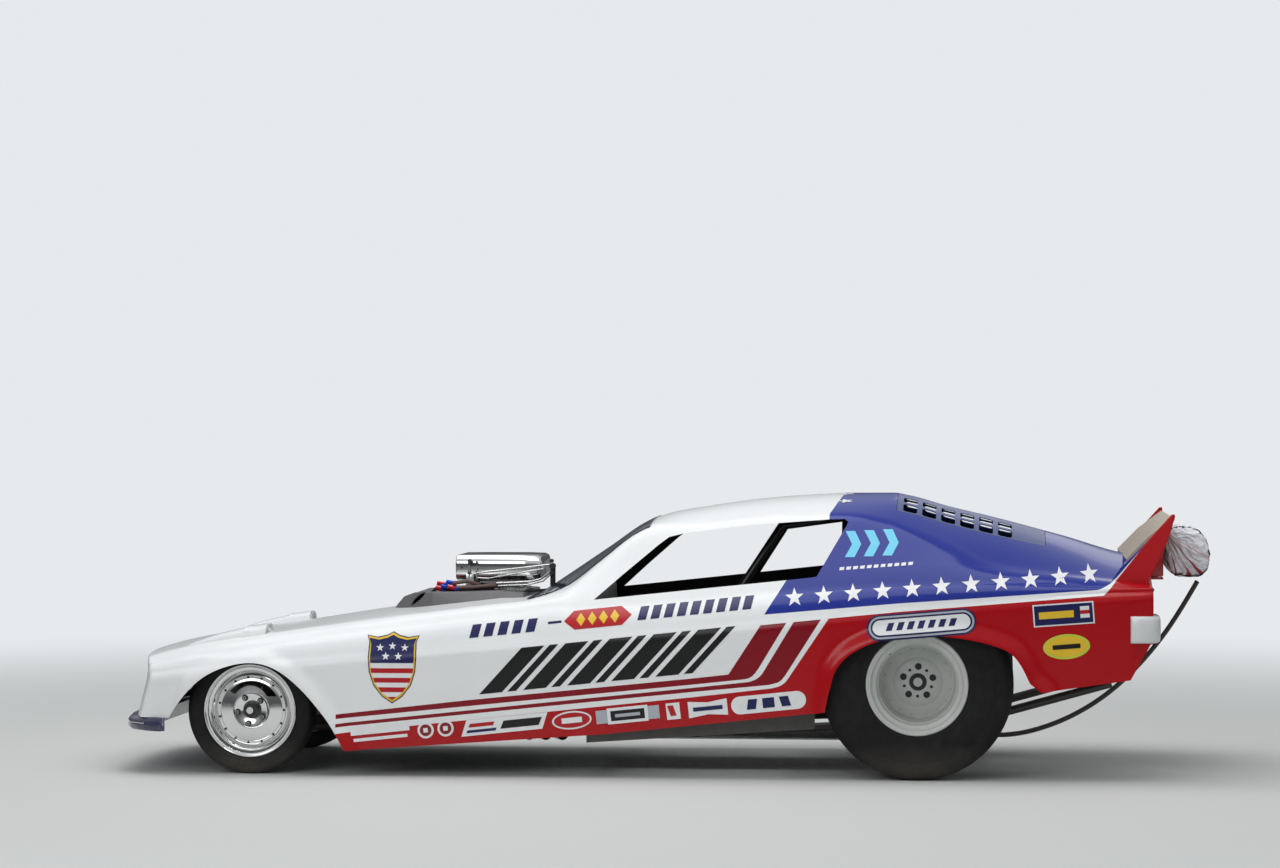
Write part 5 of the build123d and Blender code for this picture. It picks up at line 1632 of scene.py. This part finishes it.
PACK_TIE = (-1.098, 1.062)
BAG_X, BAG_Z = -1.192, 0.98
BAG_ROOM = (-1.296, -0.179, 0.862), (-1.094, 0.179, 1.0935)
STRAP_ROOM = (-1.2974, -0.179, 0.8605), (-1.0885, 0.179, 1.0958)
FOLD_AMOUNT = 0.0075
rings = []
for y, shrink, drop in ((-0.166, 0.66, 0.01), (-0.148, 0.88, 0.004), (-0.085, 0.985, 0.0),
                        (0.0, 1.0, -0.002), (0.085, 0.985, 0.0), (0.148, 0.88, 0.004),
                        (0.166, 0.66, 0.01)):
    outline = [(-1.1, 1.066), (-1.12, 1.086), (-1.18, 1.087), (-1.236, 1.078), (-1.272, 1.04),
               (-1.292, 0.985), (-1.292, 0.915), (-1.272, 0.872), (-1.212, 0.866), (-1.15, 0.868),
               (-1.112, 0.88), (-1.1, 0.96)]
    rings.append([(BAG_X + (x - BAG_X) * shrink, y, BAG_Z + (z - BAG_Z) * shrink + drop)
                  for x, z in outline])
bm = opened(subdivided(swelled(to_mesh(lofted(rings)), 0.007, 0.01)))
bm.normal_update()
for vertex in bm.verts:
    x, y, z = vertex.co
    dx, dz = x - PACK_TIE[0], z - PACK_TIE[1]
    reach = (dx * dx + dz * dz) ** 0.5
    angle = atan2(-dz, -dx)
    # folds run along the fan and part as they go out, so they are noise that changes slowly
    # along the fan and quickly across it
    bend = noise.noise(Vector((x, y, z)) * 13.0)
    across_fan = Vector((3.4 * angle + 0.85 * bend, 10.0 * y + 0.6 * bend, 6.0 * reach))
    ridge = 1.0 - abs(noise.noise(across_fan * 1.9)) * 2.6
    small = 1.0 - abs(noise.noise(across_fan * 4.6 + Vector((7.0, 3.0, 1.0)))) * 2.4
    crumple = noise.noise(Vector((x, y, z)) * 38.0)
    lift = FOLD_AMOUNT * (0.9 * ridge + 0.45 * small + 0.25 * crumple - 0.6) * min(1.0, reach / 0.07)
    vertex.co += vertex.normal * lift
hold_inside(bm, *BAG_ROOM)

pack_cloth, tree, shader = new_material("pack_cloth")
place = object_place(tree)
axes = wire(tree, "SeparateXYZ", Vector=place)
across = maths(tree, "SUBTRACT", PACK_TIE[0] + REAR_AXLE_X, axes.outputs["X"])
down = maths(tree, "SUBTRACT", PACK_TIE[1], axes.outputs["Z"])
turn = maths(tree, "ARCTAN2", down, across)
fan = wire(tree, "CombineXYZ", X=times(tree, turn, 4.6),
           Y=times(tree, axes.outputs["Y"], 5.0)).outputs[0]
streak = ramp(tree, clouds(tree, fan, 1.35, 1.0, 0.3), 0.56, 0.58, smooth=True)
soiled = ramp(tree, clouds(tree, place, 11.0, 6.0, 0.6), 0.45, 0.8, 0.0, 0.22)
reddened = times(tree, streak, ramp(tree, turn, 0.35, 0.8))
shade = mixed(tree, reddened, colour(0.88, 0.885, 0.93), colour(0.42, 0.015, 0.04))
warp, weft = [wire(tree, "TexWave", Vector=place, Scale=170.0, set_bands_direction=axis).outputs[1]
              for axis in "YZ"]
crumpled = relief(tree, 0.45, 0.004, clouds(tree, fan, 7.0, 4.0, 0.6))
woven = wire(tree, "Bump", Strength=0.25, Distance=0.0005, Height=maths(tree, "ADD", warp, weft),
             Normal=crumpled)
connect(shader, Base_Color=mixed(tree, soiled, shade, colour(0.58, 0.55, 0.56)), Roughness=0.72,
        Sheen_Weight=0.25, Normal=woven.outputs[0])
pack = put_in_place(bm, "parachute_bag", "tilt_body", [pack_cloth], sharp=180)
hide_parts("parachute_pack")

# A flat strap holds the bag to the bracket, and goes round it near each end
strap_web = finish("strap_web", (0.05, 0.05, 0.055), 0.8, grain=200, spread=0.3, bump=0.3)
pack_tree = BVHTree.FromPolygons([v.co - Vector((REAR_AXLE_X, 0, 0)) for v in pack.data.vertices],
                                 [tuple(p.vertices) for p in pack.data.polygons])
bm = bmesh.new()
for y in (-0.105, 0.105):
    rings = []
    for k in range(49):
        angle = 2 * pi * k / 48
        way = Vector((cos(angle), 0, sin(angle)))
        points = []
        for edge_y in (y - 0.011, y + 0.011):
            centre = Vector((BAG_X, edge_y, BAG_Z))
            hit = pack_tree.ray_cast(centre + way * 0.4, -way)
            points.append(hit[0])
        reach = max((p - Vector((BAG_X, p.y, BAG_Z))).length for p in points)
        inner = [Vector((BAG_X, p.y, BAG_Z)) + way * (reach - 0.0008) for p in points]
        outer = [p + way * 0.0022 for p in inner]
        rings.append([inner[0], inner[1], outer[1], outer[0]])
    bm.from_mesh(to_mesh(lofted(rings, cap=False)))
bmesh.ops.remove_doubles(bm, verts=bm.verts[:], dist=0.0002)
hold_inside(bm, *STRAP_ROOM)
face_outward(bm)
put_in_place(bm, "bag_straps", "tilt_body", [strap_web], sharp=50)

# The frame, the cage, the running gear and the engine keep the shapes of the frame's own
# solids. Each is taken over as one merged skin with its edges eased, and given its metal.


def smooth_copy(node, body, materials, ease=0.0012):
    """One node's own skin with its doubles merged, flats joined and hard edges rounded."""
    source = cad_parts[node]
    bm = opened(source.data)
    bm.transform(source.matrix_world)
    bmesh.ops.remove_doubles(bm, verts=bm.verts[:], dist=0.00004)
    bmesh.ops.dissolve_limit(bm, angle_limit=radians(0.5), verts=bm.verts[:], edges=bm.edges[:])
    face_outward(bm)
    if ease:
        hard = [e for e in bm.edges if len(e.link_faces) == 2 and e.calc_face_angle(0) > radians(35)
                and e.calc_length() > 3 * ease]
        bmesh.ops.bevel(bm, geom=hard, offset=ease, segments=2, affect="EDGES", profile=0.5,
                        material=-1, clamp_overlap=True)
    for face in bm.faces:
        face.material_index = 0
    piece = put_in_place(bm, f"{node}_piece", body, materials, sharp=32, moved=False)
    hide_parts(node)


chassis_black = finish("chassis_black", (0.01, 0.01, 0.011), 0.34, grain=110, spread=0.3, bump=0.06,
                       coat=0.35, dust=0.5, dust_height=0.7)
for node, body in (("frame_rails", "chassis"), ("roll_cage", "chassis"), ("rocker_panels", "chassis"),
                   ("rear_axle_housing", "chassis"), ("hinge_arms", "tilt_body")):
    smooth_copy(node, body, [chassis_black], ease=0.0)

# Sheet alloy shows the marks of rolling along it, and is a little stained
sheet_alloy, tree, shader = new_material("sheet_alloy")
place = object_place(tree)
along_sheet = wire(tree, "Mapping", Vector=place, Scale=(2.0, 60.0, 60.0)).outputs[0]
rolled = clouds(tree, along_sheet, 3.0, 5.0)
dirty = ramp(tree, clouds(tree, place, 6.0, 6.0, 0.65), 0.5, 0.85)
shade = mixed(tree, rolled, colour(0.42, 0.42, 0.42), colour(0.6, 0.6, 0.59))
connect(shader, Base_Color=mixed(tree, dirty, shade, colour(0.25, 0.23, 0.2)), Metallic=0.9,
        Roughness=ramp(tree, rolled, 0, 1, 0.28, 0.46), Normal=relief(tree, 0.12, 0.001, rolled))
for node in ("belly_pan", "firewall", "fuel_tank"):
    smooth_copy(node, "chassis", [sheet_alloy], ease=0.001)

# Rows of small rivets hold the firewall to the frame
bm = bmesh.new()
for z, half in ((0.487, 0.53), (0.69, 0.53), (0.825, 0.46)):
    count = round(2 * half / 0.055)
    for k in range(count + 1):
        y = -half + 2 * half * k / count
        for rear_x, front_x in ((1.4355, 1.4402), (1.4458, 1.45)):
            tube(bm, (rear_x, y, z), (front_x, y, z), 0.0048, 10)
put_in_place(bm, "firewall_rivets", "chassis", [brushed_alloy])

cast_alloy = finish("cast_alloy", (0.43, 0.43, 0.42), 0.48, metallic=0.85, grain=190, spread=0.16,
                    bump=0.35)
machined = finish("machined", (0.52, 0.52, 0.52), 0.26, metallic=0.95, grain=80, spread=0.12, bump=0.08)
polished_case = finish("polished_case", (0.72, 0.72, 0.72), 0.14, metallic=1.0, grain=40, spread=0.06,
                       bump=0.04)
block_enamel = finish("block_enamel", (0.02, 0.03, 0.095), 0.35, grain=120, spread=0.18, bump=0.2,
                      coat=0.3)
magneto_red = finish("magneto_red", (0.42, 0.01, 0.016), 0.35, grain=50, spread=0.12, coat=0.3)
belt_black = finish("belt_black", (0.014, 0.014, 0.015), 0.7, grain=260, spread=0.35, bump=0.45)
for node, slot, material, ease in (
        ("engine_block", "engine_paint", block_enamel, 0.002),
        ("cylinder_heads", "cast_metal", cast_alloy, 0.002),
        ("valve_covers", "cast_metal", machined, 0.0012),
        ("intake_manifold", "cast_metal", cast_alloy, 0.002),
        ("supercharger", "cast_metal", polished_case, 0.0012),
        ("injector_plate", "cast_metal", machined, 0.0015),
        ("gearbox", "cast_metal", cast_alloy, 0.002),
        ("supercharger_drive", "belt_rubber", belt_black, 0.001),
        ("magneto", "gloss_red", magneto_red, 0.0012),
        ("driveshaft", "bare_steel", brushed_alloy, 0.0),
        ("steering_column", "bare_steel", brushed_alloy, 0.0),
        ("front_axle", "chrome_plate", mirror_alloy, 0.0)):
    smooth_copy(node, "chassis", [material], ease=ease)
smooth_copy("tie_rod", "tie_rod", [mirror_alloy], ease=0.0)
smooth_copy("rear_axle_shaft", "rear_wheels", [brushed_alloy], ease=0.001)
for side in ("left", "right"):
    smooth_copy(f"knuckle_{side}", f"{side}_knuckle", [brushed_alloy], ease=0.0015)

# The exhausts are plated tubes. Heat has turned them straw and blue next to the heads
heated_chrome, tree, shader = new_material("heated_chrome")
place = object_place(tree)
height = maths(tree, "ADD", wire(tree, "SeparateXYZ", Vector=place).outputs["Z"],
               times(tree, clouds(tree, place, 16.0, 3.0), 0.07))
straw = ramp(tree, height, 0.36, 0.46, smooth=True)
blued = ramp(tree, height, 0.46, 0.54, smooth=True)
shade = mixed(tree, straw, colour(0.78, 0.78, 0.78), colour(0.6, 0.46, 0.24))
shade = mixed(tree, blued, shade, colour(0.2, 0.22, 0.42))
connect(shader, Base_Color=mixed(tree, dust_on(tree, 0.35, 0.4), shade, colour(0.28, 0.25, 0.21)),
        Roughness=maths(tree, "ADD", 0.08, times(tree, straw, 0.14)), Metallic=1.0)
for side in ("left", "right"):
    smooth_copy(f"exhaust_{side}", "chassis", [heated_chrome], ease=0.0008)

grip_black = finish("grip_black", (0.013, 0.013, 0.014), 0.62, grain=240, spread=0.3, bump=0.4)
smooth_copy("steering_wheel", "steering_wheel", [grip_black], ease=0.0015)

# Driver's seat: a bucket of folded alloy sheet bolted to the frame, with a stuffed seat pad and back
# pad in black leather, sewn in channels, and a flat harness that meets at one round buckle.
SEAT_HALF = 0.187
# Along the middle of the sheet: distance along the car, height, and how high its sides stand
SEAT_LINE = [(0.777, 0.453, 0.018), (0.7, 0.453, 0.05), (0.56, 0.4535, 0.085),
             (0.45, 0.456, 0.11), (0.402, 0.468, 0.125), (0.38, 0.5, 0.125),
             (0.372, 0.56, 0.12), (0.358, 0.69, 0.105), (0.342, 0.83, 0.085),
             (0.33, 0.92, 0.05), (0.325, 0.957, 0.018)]
bucket_metal = finish("bucket_metal", (0.6, 0.61, 0.62), 0.34, metallic=1.0, grain=60, spread=0.08,
                      bump=0.04)


def faced(bm, rows, closed=False):
    """Faces between one row of vertices and the next."""
    for row, after in zip(rows, rows[1:]):
        for number in range(len(row) - (0 if closed else 1)):
            beside = (number + 1) % len(row)
            bm.faces.new((row[number], row[beside], after[beside], after[number]))


seat_line = [Vector((x, 0, z)) for x, z, side in SEAT_LINE]
bm = bmesh.new()
rows = []
for number, (x, z, side) in enumerate(SEAT_LINE):
    along_seat = seat_line[min(number + 1, len(seat_line) - 1)] - seat_line[max(number - 1, 0)]
    inward = Vector((0, 1, 0)).cross(along_seat).normalized()
    across = [(-SEAT_HALF, side), (-SEAT_HALF, side * 0.5), (-SEAT_HALF, 0.02),
              (-SEAT_HALF + 0.006, 0.006), (-SEAT_HALF + 0.02, 0.0), (-0.09, 0.0), (0.0, 0.0)]
    across += [(-y, height) for y, height in reversed(across[:-1])]
    rows.append([bm.verts.new(seat_line[number] + inward * height + Vector((0, y, 0)))
                 for y, height in across])
faced(bm, rows)
face_outward(bm)
seat = put_in_place(walled(subdivided(to_mesh(bm, "bucket")), 0.003), "seat_bucket", "chassis",
                    [bucket_metal, bucket_metal], sharp=40)
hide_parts("driver_seat")

seat_leather, tree, shader = new_material("seat_leather")
place = object_place(tree)
hide = wire(tree, "TexVoronoi", Vector=place, Scale=420.0).outputs[0]
worn = ramp(tree, clouds(tree, place, 9.0, 5.0), 0.42, 0.72)
connect(shader, Base_Color=mixed(tree, worn, colour(0.012, 0.012, 0.013), colour(0.035, 0.033, 0.031)),
        Roughness=ramp(tree, worn, 0, 1, 0.4, 0.62), Normal=relief(tree, 0.35, 0.0008, hide))


def seat_pad(name, outline, half, channel_count):
    """A stuffed pad blown up as cloth, with sewn channels pressed in along it."""
    bm = opened(subdivided(swelled(prism(outline, "Y", -half, half), 0.009, 0.006)))
    bm.normal_update()
    for vertex in bm.verts:
        groove = 1.0 - abs(sin(pi * channel_count * (vertex.co.y + half) / (2 * half)))
        vertex.co -= vertex.normal * 0.006 * groove ** 3
    piece = put_in_place(bm, name, "chassis", [seat_leather], sharp=180)


seat_pad("seat_pad", [(0.765, 0.462), (0.765, 0.48), (0.745, 0.488), (0.47, 0.486), (0.44, 0.478),
                      (0.44, 0.466)], 0.168, 6)
seat_pad("back_pad", [(0.4, 0.5), (0.386, 0.495), (0.376, 0.57), (0.345, 0.85), (0.334, 0.94),
                      (0.345, 0.948), (0.362, 0.94), (0.378, 0.85), (0.402, 0.6)], 0.16, 6)


def webbing_along(path, width):
    """A flat strap along a path of (point, direction across)."""
    bm = bmesh.new()
    rows = []
    for number, (point, across) in enumerate(path):
        ahead = path[min(number + 1, len(path) - 1)][0]
        behind = path[max(number - 1, 0)][0]
        out = (ahead - behind).normalized().cross(across).normalized() * 0.0012
        side = across.normalized() * width / 2
        rows.append([bm.verts.new(point + offset)
                     for offset in (side + out, out - side, -side - out, side - out)])
    faced(bm, rows, closed=True)
    bm.faces.new(rows[0][::-1])
    bm.faces.new(rows[-1])
    face_outward(bm)
    return to_mesh(bm, "webbing")


BUCKLE = Vector((0.56, 0.0, 0.506))
straps = []
for side in (-1, 1):
    level = Vector((0, 1, 0))
    shoulder = [(0.35, 0.075, 0.956), (0.372, 0.075, 0.945), (0.386, 0.074, 0.85), (0.404, 0.07, 0.7),
                (0.42, 0.064, 0.6), (0.44, 0.056, 0.545), (0.48, 0.042, 0.518), (0.545, 0.02, 0.507)]
    straps.append(webbing_along([(Vector((x, side * y, z)), level) for x, y, z in shoulder], 0.045))
    lap = [(0.45, 0.182, 0.53), (0.462, 0.172, 0.512), (0.49, 0.13, 0.5), (0.53, 0.07, 0.501),
           (0.56, 0.02, 0.505)]
    forward = Vector((0.85, -0.5 * side, 0))
    straps.append(webbing_along([(Vector((x, side * y, z)), forward) for x, y, z in lap], 0.045))
put_in_place(joined(straps), "harness", "chassis", [strap_web], sharp=50)
disc = turned([(0.0, 0.0), (0.026, 0.0), (0.03, 0.003), (0.03, 0.009), (0.026, 0.013), (0.0, 0.013)], 48)
bmesh.ops.transform(disc, matrix=Matrix.Translation(BUCKLE) @ Matrix.Rotation(pi / 2, 4, "X"),
                    verts=disc.verts[:])
put_in_place(disc, "harness_buckle", "chassis", [machined], sharp=40)
